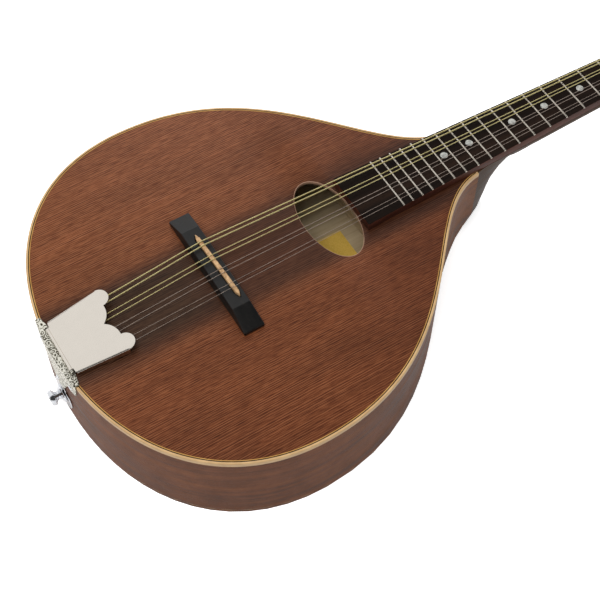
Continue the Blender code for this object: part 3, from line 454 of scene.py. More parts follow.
def plain_surface(name, first, second, rough, scale=90.0, **values):
    """Even material with slight clouds of colour and a fine surface."""
    material, tree = new_material(name, **values)
    clouds = noise(tree, (scale, scale, scale), 3.0)
    colour = ramp(tree, clouds, [(0.35, first), (0.65, second)])
    return finish_surface(material, colour, noise(tree, (1800, 1800, 1800), 2.0), grit_relief,
                          spread(tree, clouds, 0.3, 0.7, *rough))


def metal(name, colour, rough, scratch=(900, 60, 900), tint=0.9):
    """Plated metal with faint polishing marks and slight tarnish."""
    material, tree = new_material(name, Metallic=1.0)
    marks = noise(tree, scratch, 3.0)
    bright = srgb(*colour)
    dull = (*(channel * tint for channel in bright[:3]), 1)
    tarnished = ramp(tree, noise(tree, (120, 120, 120), 3.0), [(0.4, dull), (0.62, bright)])
    return finish_surface(material, tarnished, marks, marks_relief, spread(tree, marks, 0.3, 0.75, *rough))


def embossed_metal():
    """Pressed sheet with a small relief of curls and beads, and a smooth polished tab."""
    material, tree = new_material("embossed_sheet", Metallic=1.0)
    vector = stretched(tree)
    curls, beads = (add(tree, "TexVoronoi", {"Vector": vector, "Scale": scale}, feature="F1").outputs[0]
                    for scale in (300.0, 760.0))
    rings = math_node(tree, "SINE", times(tree, curls, 17.0))
    pressed = spread(tree, axis_of(tree, "Z"), top_z - tab_plain_depth - press_fade,
                     top_z - tab_plain_depth)
    relief = times(tree, plus(tree, times(tree, rings, 0.6), beads), pressed)
    low = spread(tree, relief, -0.4, 0.9)
    colour = ramp(tree, low, [(0.12, (66, 61, 48)), (0.45, (168, 163, 146)), (0.8, (234, 231, 218))])
    colour = blend_colours(tree, pressed, srgb(216, 217, 220), colour)
    rough = times(tree, spread(tree, low, 0.0, 1.0, 0.5, 0.28), pressed)
    return finish_surface(material, colour, relief, emboss_relief, plus(tree, rough, 0.06))


def wound_metal():
    """Fine bronze winding round a string that runs along Y."""
    material, tree = new_material("bronze_winding", Metallic=1.0, Roughness=0.42)
    turns = add(tree, "TexWave", {"Vector": stretched(tree), "Scale": 1200.0, "Distortion": 0.0},
                wave_type="BANDS", bands_direction="Y", wave_profile="SIN").outputs["Fac"]
    # Painted shade: darker in the grooves between the turns
    colour = ramp(tree, turns, [(0.1, (220, 198, 126)), (0.7, (255, 247, 190))])
    return finish_surface(material, colour, turns, winding_relief)


def pearl_material():
    """Mottled grey mother-of-pearl."""
    material, tree = new_material("dot_pearl", Roughness=0.25)
    flakes = add(tree, "TexVoronoi", {"Vector": stretched(tree), "Scale": 900.0},
                 feature="SMOOTH_F1").outputs[1]
    grey = add(tree, "RGBToBW", {0: flakes}).outputs[0]
    clouds = noise(tree, (500, 700, 500), 3.0)
    colour = ramp(tree, weighted(tree, grey, 0.4, clouds),
                  [(0.3, (128, 128, 124)), (0.5, (172, 173, 168)), (0.7, (200, 198, 190))])
    return finish_surface(material, colour, clouds, pearl_relief)


def paper_material():
    """Bare paper: short fibres in every direction."""
    material, tree = new_material("label_paper_bare", Roughness=0.9)
    fibres = noise(tree, (900, 900, 900), 5.0, 0.7)
    colour = ramp(tree, fibres, [(0.35, (206, 166, 72)), (0.65, (222, 184, 90))])
    return finish_surface(material, colour, fibres, grit_relief)


def geometry_group(name):
    """Empty geometry node group, with its input and output nodes."""
    group = bpy.data.node_groups.new(name, "GeometryNodeTree")
    for way in ("INPUT", "OUTPUT"):
        group.interface.new_socket("Geometry", in_out=way, socket_type="NodeSocketGeometry")
    return group, group.nodes.new("NodeGroupInput"), group.nodes.new("NodeGroupOutput")


def join_corners_group():
    """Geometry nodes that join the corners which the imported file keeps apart."""
    group, start, end = geometry_group("join_corners")
    strip = add_node(group, "GeometryNodeRemoveAttribute", {0: start.outputs[0], "Name": "custom_normal"})
    merge = add_node(group, "GeometryNodeMergeByDistance",
                     {"Geometry": strip.outputs[0], "Distance": corner_distance})
    plug(group, end.inputs[0], merge.outputs[0])
    return group


def smooth_shading_group(angle):
    """Geometry nodes that shade smooth up to an angle between faces."""
    group, start, end = geometry_group("smooth_to_%d" % angle)
    between = add_node(group, "GeometryNodeInputMeshEdgeAngle")
    sharp = add_node(group, "FunctionNodeCompare",
                     {0: between.outputs[0], 1: math.radians(angle)}, operation="GREATER_THAN")
    faces = add_node(group, "GeometryNodeSetShadeSmooth", {"Geometry": start.outputs[0]}, domain="FACE")
    edges = add_node(group, "GeometryNodeSetShadeSmooth",
                     {"Geometry": faces.outputs[0], "Selection": sharp.outputs[0],
                      "Shade Smooth": False}, domain="EDGE")
    plug(group, end.inputs[0], edges.outputs[0])
    return group


join_corners = join_corners_group()
smooth = smooth_shading_group(smooth_angle)
smooth_finely = smooth_shading_group(fine_angle)


def dress(node, material, bevel=0.0, shading=smooth):
    """Material and edge finish of a CAD piece that stays."""
    piece = nodes[node]
    piece.data.materials.clear()
    piece.data.materials.append(material)
    piece.modifiers.new("join_corners", "NODES").node_group = join_corners
    if bevel:
        flat = piece.modifiers.new("flat_faces", "DECIMATE")
        flat.decimate_type = "DISSOLVE"
        flat.angle_limit = math.radians(flat_angle)
        round_edges = piece.modifiers.new("round_edges", "BEVEL")
        round_edges.width = bevel
        round_edges.segments = 3
        round_edges.limit_method = "ANGLE"
        round_edges.angle_limit = math.radians(smooth_angle)
        round_edges.use_clamp_overlap = True
    piece.modifiers.new("smooth", "NODES").node_group = shading


def new_object(name, data):
    """Object of the scene that shows this data."""
    made = bpy.data.objects.new(name, data)
    bpy.context.scene.collection.objects.link(made)
    return made


def link(name, data, material, body="instrument", stands_for=()):
    """New piece that rides on a CAD body."""
    piece = new_object(name, data)
    data.materials.append(material)
    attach(piece, body)
    if stands_for:
        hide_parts(*stands_for)
    return piece


def bezier(start, first, second, end):
    """Points of a cubic curve, without its last one."""
    points = []
    for i in range(outline_steps):
        t = i / outline_steps
        weights = ((1 - t) ** 3, 3 * t * (1 - t) ** 2, 3 * t * t * (1 - t), t ** 3)
        corners = (start, first, second, end)
        points.append(tuple(sum(w * c[k] for w, c in zip(weights, corners)) for k in (0, 1)))
    return points


def ellipse(centre, half_x, half_y, steps):
    return [(centre[0] + half_x * math.cos(2 * math.pi * i / steps),
             centre[1] + half_y * math.sin(2 * math.pi * i / steps)) for i in range(steps)]


def side_half():
    """Right half of the teardrop, from the middle of the tail to the heel's corner."""
    widest = (body_half_width, tail_y + widest_from_tail)
    shoulder = (heel_flat_half, joint_y)
    half = bezier((0, tail_y), (tail_handle, tail_y),
                  (body_half_width, widest[1] - lower_side_handle), widest)
    half += bezier(widest, (body_half_width, widest[1] + upper_side_handle),
                   (heel_flat_half + neck_handle[0], joint_y - neck_handle[1]), shoulder)
    return half + [shoulder]


def reflected(half):
    """The same points on the other side of the centre line, in reverse order."""
    return [(-x, y) for x, y in reversed(half)]


def body_outline():
    """Teardrop, anticlockwise from the middle of the tail."""
    half = side_half()
    return half + reflected(half[1:])


def arc(centre, radius, start, end, steps):
    """Points of an arc between two angles in degrees."""
    points = []
    for i in range(steps + 1):
        angle = math.radians(start + (end - start) * i / steps)
        points.append((centre[0] + radius * math.cos(angle), centre[1] + radius * math.sin(angle)))
    return points


def bulged(start, end, bulge, steps):
    """Points between two ends on an arc that bulges to the right of its way."""
    chord = math.dist(start, end)
    points = []
    for i in range(1, steps):
        t = i / steps
        out = 4 * bulge * t * (1 - t) / chord
        points.append((start[0] + (end[0] - start[0]) * t + (end[1] - start[1]) * out,
                       start[1] + (end[1] - start[1]) * t - (end[0] - start[0]) * out))
    return points


def inset(outline, distance):
    """Anticlockwise outline moved inward, with mitred corners."""
    count = len(outline)
    moved = []
    for i in range(count):
        before = Vector(outline[i]) - Vector(outline[i - 1])
        after = Vector(outline[(i + 1) % count]) - Vector(outline[i])
        first = Vector((-before.y, before.x)).normalized()
        second = Vector((-after.y, after.x)).normalized()
        point = Vector(outline[i]) + (first + second) * (distance / (1 + first.dot(second)))
        moved.append((point.x, point.y))
    return moved


def to_mesh(work, name, angle=smooth_angle):
    """Mesh of a finished bmesh, shaded smooth up to an angle."""
    bmesh.ops.recalc_face_normals(work, faces=work.faces)
    mesh = bpy.data.meshes.new(name)
    work.to_mesh(mesh)
    work.free()
    mesh.shade_smooth()
    mesh.set_sharp_from_angle(angle=math.radians(angle))
    return mesh


def skin(work, rings, joined=False):
    """Faces between rings of corners; the ends are closed, or joined to each other."""
    count = len(rings[0])
    for first, second in zip(rings, rings[1:] + rings[:1] if joined else rings[1:]):
        for i in range(count):
            j = (i + 1) % count
            work.faces.new((first[i], first[j], second[j], second[i]))
    if not joined:
        work.faces.new(rings[0])
        work.faces.new(rings[-1])


def swept_ring(name, profile):
    """Closed ring round the body from a profile of (inset, height) points."""
    work = bmesh.new()
    rings = []
    for distance, height in profile:
        outline = inset(body_outline(), distance)
        rings.append([work.verts.new((x, y, height)) for x, y in outline])
    skin(work, rings, joined=True)
    return to_mesh(work, name)


def add_spline(curve, points):
    """Straight-sided spline through points in two or three dimensions."""
    spline = curve.splines.new("POLY")
    spline.points.add(len(points) - 1)
    for point, place in zip(spline.points, points):
        point.co = Vector(place).to_4d()
    return spline


def plate_mesh(name, outlines, bottom, top, edge):
    """Plate with rounded edges; outlines after the first one are holes in it."""
    curve = bpy.data.curves.new(name, "CURVE")
    curve.dimensions = "2D"
    curve.fill_mode = "BOTH"
    curve.extrude = (top - bottom) / 2 - edge
    curve.bevel_depth = edge
    curve.bevel_resolution = 2
    curve.offset = -edge
    for outline in outlines:
        add_spline(curve, outline).use_cyclic_u = True
    drawn = new_object(name, curve)
    graph = bpy.context.evaluated_depsgraph_get()
    mesh = bpy.data.meshes.new_from_object(drawn.evaluated_get(graph))
    bpy.data.objects.remove(drawn)
    mesh.transform(Matrix.Translation((0, 0, (bottom + top) / 2)))
    work = bmesh.new()
    work.from_mesh(mesh)
    bmesh.ops.remove_doubles(work, verts=work.verts, dist=weld_distance)
    return to_mesh(work, name)


def append_mesh(work, mesh, matrix=Matrix()):
    """Copy a mesh into a bmesh, moved, and remove the mesh."""
    mesh.transform(matrix)
    work.from_mesh(mesh)
    bpy.data.meshes.remove(mesh)


def rounded(outer_inset, inner_inset, bottom, top, radius):
    """Profile of a bar between two insets whose upper outer edge is rounded."""
    profile = [(inner_inset, bottom), (outer_inset, bottom)]
    for i in range(6):
        angle = math.pi / 2 * i / 5
        profile.append((outer_inset + radius * (1 - math.cos(angle)),
                        top - radius * (1 - math.sin(angle))))
    return profile + [(inner_inset, top)]


def build_binding(material):
    profile = rounded(0, binding_width, top_z - binding_height, top_z, binding_round)
    link("binding_strip", swept_ring("binding_strip", profile), material,
         stands_for=["binding"])


def build_purfling(dark, light):
    """A dark line and a light line let into the soundboard inside the binding."""
    start = binding_width + inlay_gap / 2
    middle = start + purfling_width / 2
    end = start + purfling_width
    bottom = top_z - purfling_depth
    for name, outer, inner, material, slot in (("purfling_dark", start, middle, dark, "dark_line"),
            ("purfling_light", middle, end, light, "cream_binding")):
        profile = [(inner, bottom), (outer, bottom), (outer, top_z), (inner, top_z)]
        stands_for = ["purfling"] if name == "purfling_dark" else []
        link(name, swept_ring(name, profile), material, stands_for=stands_for)


def build_soundboard(material):
    hole = ellipse((0, nut_y - hole_from_nut), hole_half_x, hole_half_y, hole_points)
    start = binding_width + inlay_gap / 2 + purfling_width
    mesh = plate_mesh("soundboard_plate", [inset(body_outline(), start + inlay_gap / 2), hole],
                      top_under_z, top_z, thin_round)
    link("soundboard_plate", mesh, material, stands_for=["soundboard"])


def foot_tuck_at(y, z):
    """How far the body's side turns in at one place near the heel's foot."""
    along = min(max(1 - (joint_y - y) / foot_tuck_length, 0), 1)
    down = max(1 - z / foot_tuck_height, 0)
    return foot_tuck * along ** foot_tuck_power * down


def build_rims(material, inner_material):
    """Two bent sides, with coordinates along the bend for their grain."""
    outer = side_half()
    inner = inset(body_outline(), rim_thickness)[:len(outer)]
    top = top_z - binding_height
    end = Vector(outer[-1]) - Vector(outer[-2])
    outer.append(tuple(Vector(outer[-1]) + end.normalized() * gap))
    inner.append((inner[-1][0], joint_y))
    for name, side in (("rim_bass", -1), ("rim_treble", 1)):
        work = bmesh.new()
        layer = work.loops.layers.uv.new("along")
        rings = []
        run = 0.0
        along = []
        for i, ((x, y), (u, v)) in enumerate(zip(outer, inner)):
            if i:
                run += math.dist(outer[i - 1], outer[i])
            along.append(run)
            middle = foot_tuck_height
            corners = [(x - foot_tuck_at(y, rim_bottom_z), y, rim_bottom_z), (x, y, middle),
                       (x, y, top), (u, v, top), (u, v, middle),
                       (u - foot_tuck_at(v, rim_bottom_z), v, rim_bottom_z)]
            rings.append([work.verts.new((side * a, b, c)) for a, b, c in corners])
        for i, (first, second) in enumerate(zip(rings, rings[1:])):
            for k in range(6):
                j = (k + 1) % 6
                face = work.faces.new((first[k], second[k], second[j], first[j]))
                face.material_index = 1 if k in (3, 4) else 0
                for loop, place in zip(face.loops, (along[i], along[i + 1], along[i + 1], along[i])):
                    loop[layer].uv = (place, loop.vert.co.z)
        work.faces.new(rings[0])
        work.faces.new(rings[-1])
        side_piece = link(name + "_side", to_mesh(work, name + "_side"), material,
                          stands_for=[name])
        side_piece.data.materials.append(inner_material)


def board_half_width(from_nut):
    return nut_half_width + width_gain * from_nut


def fret_from_nut(number):
    return scale_length * (1 - 2 ** (-number / 12))


def build_fingerboard(top_material, side_material):
    """Tapered board with slightly rounded edges."""
    end_half = board_half_width(board_length)
    outline = [(-end_half, nut_y - board_length), (end_half, nut_y - board_length),
               (nut_half_width, nut_y), (-nut_half_width, nut_y)]
    mesh = plate_mesh("fingerboard_wood", [outline], board_bottom_z, fret_plane_z - fret_height,
                      board_round)
    link("fingerboard_wood", mesh, top_material, stands_for=["fingerboard"])
    mesh.materials.append(side_material)
    for face in mesh.polygons:
        face.material_index = 0 if face.normal.z > 0.5 else 1


def build_frets(material):
    """Half-round wires across the board, with bevelled ends."""
    steps = 8
    base = fret_plane_z - fret_height - fret_sink
    for number in range(1, fret_count + 1):
        from_nut = fret_from_nut(number)
        half = board_half_width(from_nut)
        work = bmesh.new()
        rings = []
        ends = [(-half + reach, share) for reach, share in fret_end]
        ends += [(half - reach, share) for reach, share in reversed(fret_end)]
        for x, share in ends:
            ring = []
            for i in range(steps + 1):
                angle = math.pi * i / steps
                rise = (fret_plane_z - base) * math.sin(angle) ** fret_crown_power * share
                ring.append(work.verts.new((x, nut_y - from_nut - math.cos(angle) * fret_crown_width / 2,
                                            base + rise)))
            rings.append(ring)
        skin(work, rings)
        name = "fret_%02d" % number
        link(name, to_mesh(work, name, fret_angle), material)


def build_dots(material):
    surface = fret_plane_z - fret_height
    for number in dot_frets:
        middle = (fret_from_nut(number) + fret_from_nut(number - 1)) / 2
        outline = ellipse((0, nut_y - middle), dot_radius, dot_radius, dot_points)
        name = "dot_%02d" % number
        mesh = plate_mesh(name, [outline], surface - dot_thickness, surface + dot_rise, dot_round)
        link(name, mesh, material)


def head_to_row(x, y, z):
    """Point of the headstock's own frame, whose Y runs to the tip and Z out of its face."""
    origin = Vector((0, nut_y + nut_thickness + 2 * gap, top_z))
    return origin + Matrix.Rotation(-head_angle, 3, "X") @ Vector((x, y, z))


def saddle_y(x):
    """Where the saddle's ridge is along the body, at one distance from the centre line."""
    low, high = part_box("bridge_saddle")
    return (low.y + high.y) / 2 + saddle_lean * x / (high.x - low.x)


def string_points(index, values):
    """Points of one string: round its hook, over the saddle and nut, and round its post."""
    diameter, hook_x, saddle_x, nut_x = values
    radius = diameter / 2
    side = -1 if index < 4 else 1
    number = index if side < 0 else 7 - index
    hook_y = tail_y + hook_from_tail
    height = top_z + hook_string_height
    reach = hook_radius + radius
    points = []
    for i in range(loop_steps + 1):
        angle = math.radians(loop_start + loop_sweep * i / loop_steps)
        points.append(Vector((hook_x + reach * math.cos(angle), hook_y + reach * math.sin(angle),
                              height - loop_drop + loop_drop * i / loop_steps)))
    rest = fret_plane_z + string_over_frets_at_nut + string_gap + radius
    points += [Vector((hook_x + reach * loop_exit_share, hook_y + loop_exit, height)),
               Vector((saddle_x, saddle_y(saddle_x), saddle_top_z + string_gap + radius)),
               Vector((nut_x, nut_y + gap, rest)), Vector((nut_x, nut_y + gap + nut_thickness, rest))]
    wrap = post_radius + radius + string_gap
    centre_y = first_post_at + post_spacing * number
    start_height = gap + veneer_thickness + wrap_height
    start = 180 if side > 0 else 0
    turns = 60
    for i in range(turns + 1):
        turn = string_wraps * wrap_gain * i / turns
        angle = math.radians(start + side * -360 * turn)
        points.append(head_to_row(side * post_x + wrap * math.cos(angle),
                                  centre_y + wrap * math.sin(angle),
                                  start_height - diameter * wrap_pitch * turn))
    return radius, points


def string_twist(radius, start, towards):
    """Points of a string's end that is wound round the string itself."""
    forward = (towards - start).normalized()
    aside = forward.cross(Vector((0, 0, 1))).normalized()
    over = aside.cross(forward)
    steps = 12
    points = []
    for i in range(round(twist_length / twist_pitch * steps) + 1):
        angle = 2 * math.pi * i / steps
        points.append(start + forward * (twist_pitch * i / steps)
                      + (aside * math.cos(angle) + over * math.sin(angle)) * radius * twist_reach)
    return points


def build_strings(wound, plain):
    for index, (name, values) in enumerate(strings.items()):
        radius, points = string_points(index, values)
        curve = bpy.data.curves.new(name + "_wire", "CURVE")
        curve.dimensions = "3D"
        curve.bevel_depth = radius
        curve.bevel_resolution = 3
        curve.use_fill_caps = True
        hook_end = loop_steps + 1
        for run in (points, string_twist(radius, points[hook_end], points[hook_end + 1])):
            add_spline(curve, run)
        is_wound = index < 4
        link(name + "_wire", curve, wound if is_wound else plain,
             stands_for=[name])


def turned(name, profile, centre, axis, steps=48):
    """Profile of (radius, distance) points turned about an axis through a centre."""
    turn = Vector((0, 0, 1)).rotation_difference(Vector(axis)).to_matrix()
    work = bmesh.new()
    rings = []
    for radius, distance in profile:
        ring = []
        for i in range(steps if radius > 0 else 1):
            around = 2 * math.pi * i / steps
            local = Vector((radius * math.cos(around), radius * math.sin(around), distance))
            ring.append(work.verts.new(Vector(centre) + turn @ local))
        rings.append(ring)
    for first, second in zip(rings, rings[1:]):
        for i in range(steps):
            j = (i + 1) % steps
            corners = [first[i % len(first)], first[j % len(first)],
                       second[j % len(second)], second[i % len(second)]]
            unique = list(dict.fromkeys(corners))
            if len(unique) > 2:
                work.faces.new(unique)
    return to_mesh(work, name, turned_angle)


def build_bushings(material):
    """Rings on the headstock's face round the string posts."""
    bore = post_radius + gap
    top = bushing_height
    profile = [(bore, 0), (bushing_radius, 0), (bushing_radius, top * 0.5),
               (bushing_radius - top * 0.5, top), (bore, top), (bore, 0)]
    axis = head_to_row(0, 0, 1) - head_to_row(0, 0, 0)
    for side_name, side in (("bass", -1), ("treble", 1)):
        for number in range(4):
            place = head_to_row(side * post_x, first_post_at + post_spacing * number,
                                gap + veneer_thickness)
            name = "post_bushing_%s_%d" % (side_name, number + 1)
            link(name, turned(name, profile, place, axis, 32), material)


def curve_profile(points):
    """Smooth (Catmull-Rom) run through profile points."""
    steps = 6
    padded = [points[0], *points, points[-1]]
    run = []
    for a, b, c, d in zip(padded, padded[1:], padded[2:], padded[3:]):
        for i in range(steps):
            t = i / steps
            run.append(tuple(0.5 * (2 * b[k] + (c[k] - a[k]) * t
                                    + (2 * a[k] - 5 * b[k] + 4 * c[k] - d[k]) * t * t
                                    + (3 * b[k] - a[k] - 3 * c[k] + d[k]) * t ** 3) for k in (0, 1)))
    return run + [points[-1]]


def rim_y(x):
    """Where the tail's curve lies at one distance from the centre line."""
    line = side_half()
    aside = abs(x)
    for (x0, y0), (x1, y1) in zip(line, line[1:]):
        if x1 >= aside:
            return y0 + (y1 - y0) * (aside - x0) / (x1 - x0)
    return line[-1][1]


def skirt_outline():
    """The tailpiece base seen from the tail: X and height, anticlockwise."""
    lobe = (screw_lobe_x, top_z - screw_lobe_depth)
    half = arc((0, top_z - tab_depth), base_tab_radius, *tab_arc, 28)
    for number, (x, depth) in enumerate(skirt_steps):
        cusp = (x, top_z - depth)
        half += bulged(half[-1], cusp, skirt_bulge if number else -skirt_bulge, 10)
        if number < len(skirt_steps) - 1:
            half.append(cusp)
    half += arc(lobe, screw_lobe_radius, *screw_lobe_arc, 24)
    half += [(base_rim_half, top_z - skirt_side_depth), (base_rim_half, top_z + gap + base_thickness)]
    return half[1:] + reflected(half)


def build_tailpiece_base(material):
    """Sheet that lies on the soundboard and wraps down over the rim, with hooks and knuckles."""
    bottom = top_z + gap
    top = bottom + base_thickness
    steps = round(base_rim_half / bend_step)
    rim = [(i * bend_step, rim_y(i * bend_step) - gap - base_thickness) for i in range(1, steps + 1)]
    shoulder_y = rim[-1][1] + base_shoulder
    half = rim + [(base_rim_half, shoulder_y), (base_top_half, shoulder_y + base_shoulder_slope),
                  (base_top_half, tail_y + base_front_from_tail)]
    plate = plate_mesh("base_plate", [half + reflected(half)], bottom, top, sheet_round)
    skirt = plate_mesh("base_skirt", [skirt_outline()], -base_thickness / 2, base_thickness / 2,
                       sheet_round)
    work = bmesh.new()
    append_mesh(work, skirt, Matrix.Rotation(math.radians(90), 4, "X"))
    for i in range(1 - steps, steps):
        bmesh.ops.bisect_plane(work, geom=work.verts[:] + work.edges[:] + work.faces[:],
                               plane_co=(i * bend_step, 0, 0), plane_no=(1, 0, 0), dist=cut_distance)
    for vertex in work.verts:
        vertex.co.y += rim_y(vertex.co.x) - gap - base_thickness / 2
    append_mesh(work, plate)
    for x in (values[1] for values in strings.values()):
        side = [(0, bottom), (hook_radius, bottom)]
        side += [(hook_radius * share, top + hook_height - depth) for share, depth in hook_tip]
        append_mesh(work, turned("hook", side, (x, tail_y + hook_from_tail, 0), (0, 0, 1), 16))
    axis = hinge_place()
    for side in (-1, 1):
        middle = side * (base_top_half - knuckle_width / 2)
        append_mesh(work, tube("ear", knuckle_width / 2, middle))
        low = (middle - knuckle_width / 2, axis.y - knuckle_radius, top - sheet_round)
        high = (middle + knuckle_width / 2, axis.y + knuckle_radius, axis.z - hinge_pin_radius * 2)
        corners = ((low[0], low[1]), (high[0], low[1]), (high[0], high[1]), (low[0], high[1]))
        skin(work, [[work.verts.new((x, y, z)) for x, y in corners] for z in (low[2], high[2])])
    link("tailpiece_sheet", to_mesh(work, "tailpiece_sheet"), material,
         stands_for=["tailpiece_base"])


def hinge_place():
    """Middle of the cover's hinge axis."""
    height = top_z + gap + base_thickness + gap + knuckle_radius
    return Vector((0, tail_y + hinge_from_tail, height))


def tube(name, half_length, middle=0.0):
    """Bored roll on the hinge axis, with rounded ends."""
    bore = hinge_pin_radius + gap / 2
    radius = knuckle_radius
    edge = thin_round
    profile = [(bore, -half_length), (radius - edge, -half_length), (radius, edge - half_length),
               (radius, half_length - edge), (radius - edge, half_length), (bore, half_length),
               (bore, -half_length)]
    return turned(name, profile, hinge_place() + Vector((middle, 0, 0)), (1, 0, 0), 24)


def build_cover(material):
    """Sheet cover with rolled sides and scalloped front, on its hinge."""
    top = knuckle_radius
    reach = base_top_half - knuckle_width - gap
    beside_ears = knuckle_radius + gap
    lobe = (cover_lobe_x, cover_length - cover_lobe_radius)
    side_x = lobe[0] + cover_lobe_radius
    half = [(reach, knuckle_radius * cover_roll_cut), (reach, beside_ears),
            (cover_rear_half - bend_radius, beside_ears + gap),
            (side_x - bend_radius, lobe[1] - cover_shoulder_back),
            (side_x - cover_shoulder_in, lobe[1] + cover_shoulder_in)]
    half += arc(lobe, cover_lobe_radius, *cover_lobe_arc, 32)
    cusp = (0, cover_length - cover_cusp_back)
    half += bulged(half[-1], cusp, cover_arc_bulge, 16)
    outline = half + [cusp] + reflected(half)
    place = Matrix.Translation(hinge_place()) @ Matrix.Rotation(cover_slope, 4, "X")
    work = bmesh.new()
    append_mesh(work, plate_mesh("cover_face", [outline], top - cover_thickness, top, thin_round), place)
    for side in (-1, 1):
        add_rolled_side(work, side, side_x, lobe[1], place)
    append_mesh(work, tube("cover_roll", reach))
    link("cover_sheet", to_mesh(work, "cover_sheet"), material, "cover", ["tailpiece_cover"])


def add_rolled_side(work, side, side_x, end_y, place):
    """Flange of the cover along one side, with its bend."""
    top = knuckle_radius
    inner = bend_radius - cover_thickness
    corner = (-bend_radius, top - bend_radius)
    bottom = top - cover_flange
    section = arc(corner, bend_radius, 90, 0, 6)
    lower = [len(section) + k for k in range(3)]
    section += [(0, bottom + flange_round), (-flange_chamfer, bottom), (-cover_thickness, bottom)]
    section += arc(corner, inner, 0, 90, 2)
    start_y = 2 * knuckle_radius
    rings = []
    for i in range(9):
        t = i / 8
        y = start_y + (end_y - start_y) * t
        x = cover_rear_half + (side_x - cover_rear_half) * y / end_y
        drop = (cover_flange_front - cover_flange) * t
        rings.append([work.verts.new(place @ Vector((side * (x + out), y,
                                                     z - (drop if k in lower else 0))))
                      for k, (out, z) in enumerate(section)])
    skin(work, rings)


def build_tailpiece_screws(material):
    """Three small domed screws that hold the base on the rim."""
    radius = screw_radius
    dome = screw_dome
    for number, (x, depth) in enumerate(((-screw_lobe_x, screw_lobe_depth), (0, middle_screw_depth),
                                         (screw_lobe_x, screw_lobe_depth))):
        y = rim_y(x) - gap - base_thickness
        slope = (rim_y(x + bend_step) - rim_y(x - bend_step)) / (2 * bend_step)
        outward = Vector((slope, -1, 0)).normalized()
        side = [(0, -screw_sink), (radius, -screw_sink), (radius, screw_sink)]
        side += [(radius * across, dome * along) for across, along in screw_side]
        mesh = turned("tailpiece_screw", [*side, (0, dome)], (x, y, top_z - depth), outward, 24)
        link("tailpiece_screw_%d" % (number + 1), mesh, material)


def build_strap_button(material):
    """Turned button with a round shoulder, a waist and a domed head."""
    low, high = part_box("strap_button")
    length = high.y - low.y
    centre = (0, high.y, (low.z + high.z) / 2)
    side = [*strap_side, (strap_face_radius, length)]
    bore = strap_bore
    recess = strap_bore + strap_recess
    profile = [(bore, 0)] + curve_profile(side) + [(recess, length), (bore, length - strap_recess_depth),
                                                   (bore, 0)]
    link("strap_button_turned", turned("strap_button_turned", profile, centre, (0, -1, 0)),
         material, stands_for=["strap_button"])


def build_camera():
    """Camera at the photograph's place, found by fitting the frets, outline and rim."""
    data = bpy.data.cameras.new("photo_camera")
    data.sensor_width = 36
    data.lens = camera_lens
    data.clip_start, data.clip_end = camera_clip
    camera = new_object("photo_camera", data)
    right = Vector(camera_right).normalized()
    forward = Vector(camera_forward).normalized()
    turn = Matrix((right, right.cross(forward), -forward)).transposed().to_4x4()
    camera.matrix_world = Matrix.Translation(camera_place) @ turn
    bpy.context.scene.camera = camera


def area_lamp(name, place, size, power):
    data = bpy.data.lights.new(name, "AREA")
    data.shape = "RECTANGLE"
    data.size, data.size_y = size
    data.energy = power
    lamp = new_object(name, data)
    lamp.visible_glossy = False
    lamp.location = place
    towards = Vector(lamp_target) - Vector(place)
    lamp.rotation_euler = towards.to_track_quat("-Z", "Y").to_euler()


def build_world():
    """White surroundings that the camera sees, dimmer as light, and dark to one side in gloss."""
    world = bpy.data.worlds.new("studio")
    bpy.context.scene.world = world
    world.use_nodes = True
    tree = world.node_tree
    background = tree.nodes["Background"]
    background.inputs["Color"].default_value = (1, 1, 1, 1)
    path = add(tree, "LightPath")
    mirrored_ray = math_node(tree, "MAXIMUM", path.outputs["Is Glossy Ray"],
                             path.outputs["Is Transmission Ray"])
    dark_side = times(tree, spread(tree, axis_of(tree, "X", "Generated"), *dark_towards),
                      spread(tree, axis_of(tree, "Z", "Generated"), *dark_above))
    bright = spread(tree, dark_side, 0.0, 1.0, 1.0, dark_reflection, False)
    matt = math_node(tree, "SUBTRACT", room_light, times(tree, mirrored_ray, room_light))
    strength = plus(tree, times(tree, mirrored_ray, bright), matt)
    strength = math_node(tree, "MAXIMUM", strength, path.outputs["Is Camera Ray"])
    plug(tree, background.inputs["Strength"], strength)


def build_floor():
    """White floor that stays white for the camera."""
    mesh = bpy.data.meshes.new("floor")
    reach = floor_reach
    mesh.from_pydata([(-reach, -reach, 0), (reach, -reach, 0), (reach, reach, 0),
                      (-reach, reach, 0)], [], [(0, 1, 2, 3)])
    floor = new_object("floor", mesh)
    floor.location.z = -floor_drop
    material, tree = new_material("floor_white", Roughness=0.9, Specular_IOR_Level=0.0,
                                          Base_Color=(floor_grey, floor_grey, floor_grey, 1),
                                          Emission_Color=(1, 1, 1, 1))
    path = add(tree, "LightPath")
    lift = times(tree, path.outputs["Is Camera Ray"], floor_lift)
    plug(tree, tree.nodes["Principled BSDF"].inputs["Emission Strength"], lift)
    mesh.materials.append(material)


def build_studio():
    """Surroundings, floor and broad soft lamps."""
    bpy.context.scene.view_settings.view_transform = "Standard"
    build_world()
    build_floor()
    for name, (place, size, power) in lamps.items():
        area_lamp(name, place, size, power)


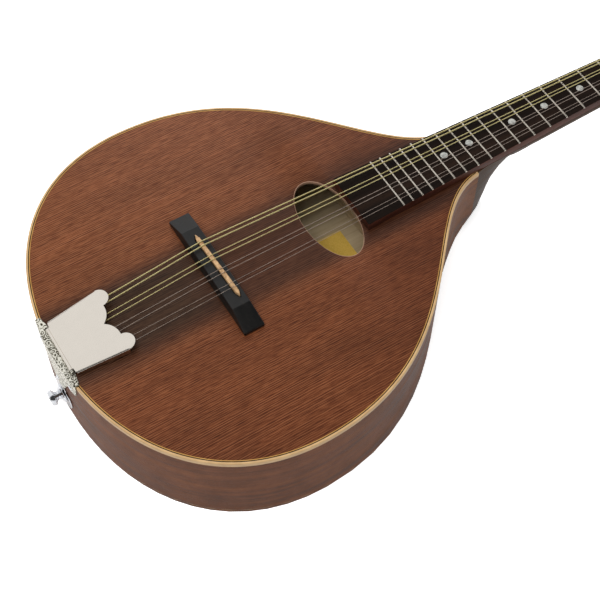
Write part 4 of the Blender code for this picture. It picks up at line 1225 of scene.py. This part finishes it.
def build_looks():
    mahogany = ((70, 40, 24), (103, 63, 41), (122, 78, 52))
    rib_wood = pored_wood("rib_mahogany", *mahogany, along="X", source="UV", gloss=0.07,
                          clouds=0.16, painted_sheen_from=rib_painted_sheen_start)
    neck_wood = pored_wood("neck_mahogany", (44, 31, 23), (68, 50, 37), (84, 62, 46), gloss=0.06,
                           clouds=0.1)
    back_wood = pored_wood("back_mahogany", *mahogany, gloss=0.07, clouds=0.16,
                           inside_z=back_top_z - inside_depth)
    inner_wood = pored_wood("inner_wood", (172, 150, 118), (198, 176, 142), (214, 192, 158),
                            along="X", rough=(0.6, 0.75))
    rosewood = pored_wood("fingerboard_rosewood", (15, 11, 9), (25, 18, 14), (38, 27, 21),
                          rough=(0.42, 0.55), gloss=0.045)
    rosewood_side = pored_wood("board_side_rosewood", (44, 22, 16), (72, 38, 28), (90, 50, 36), gloss=0.15)
    ebony = pored_wood("bridge_ebony", (10, 10, 10), (17, 16, 15), (31, 28, 25), along="X",
                       rough=(0.36, 0.5), relief=ebony_relief, gloss=0.36)
    cream = plain_surface("cream_strip", (180, 146, 102), (197, 163, 117), (0.34, 0.46))
    cream_line = plain_surface("light_line", (166, 124, 66), (186, 144, 84), (0.4, 0.5),
                               Specular_IOR_Level=0.2)
    dark_line = plain_surface("dark_line_wood", (12, 8, 6), (22, 15, 11), (0.4, 0.5),
                              Specular_IOR_Level=0.06)
    bone = plain_surface("saddle_bone", (150, 116, 80), (196, 160, 118), (0.4, 0.52), 320.0)
    button = plain_surface("button_cream_pearl", (206, 200, 184), (226, 221, 208), (0.16, 0.26), 260.0)
    nickel = metal("polished_nickel", (220, 213, 203), (0.12, 0.18), tint=0.985)
    fret_metal = metal("fret_nickel", (206, 198, 186), (0.16, 0.28), (60, 900, 900))
    chrome = metal("bright_chrome", (232, 234, 238), (0.04, 0.1))
    steel = metal("string_steel", (206, 188, 174), (0.3, 0.42))

    build_binding(cream)
    build_purfling(dark_line, cream_line)
    build_soundboard(soundboard_material())
    build_rims(rib_wood, inner_wood)
    build_fingerboard(rosewood, rosewood_side)
    build_frets(fret_metal)
    build_dots(pearl_material())
    build_strings(wound_metal(), steel)
    build_bushings(nickel)
    build_strap_button(chrome)
    build_tailpiece_base(embossed_metal())
    build_cover(nickel)
    build_tailpiece_screws(chrome)

    dress("back", back_wood)
    dress("neck", neck_wood)
    for name in ("neck_block", "tail_block", "lining_top_bass", "lining_top_treble",
                 "lining_back_bass", "lining_back_treble", "top_brace_lower", "top_brace_upper",
                 "back_brace_lower", "back_brace_upper", "back_centre_strip", "soundhole_patch"):
        dress(name, inner_wood)
    dress("label", paper_material())
    dress("neck_bar", steel)
    dress("headstock_veneer", rosewood)
    dress("nut", bone, small_bevel)
    dress("bridge_base", ebony, bridge_bevel, smooth_finely)
    dress("bridge_saddle", bone, bridge_bevel)
    dress("tailpiece_hinge_pin", nickel)
    dress("strap_button_screw", chrome)
    for side in ("bass", "treble"):
        dress("tuner_plate_" + side, nickel, plate_bevel)
        for number in range(1, 5):
            dress("string_post_%s_%d" % (side, number), nickel)
            dress("tuner_button_%s_%d" % (side, number), button)


build_camera()
build_studio()
build_looks()
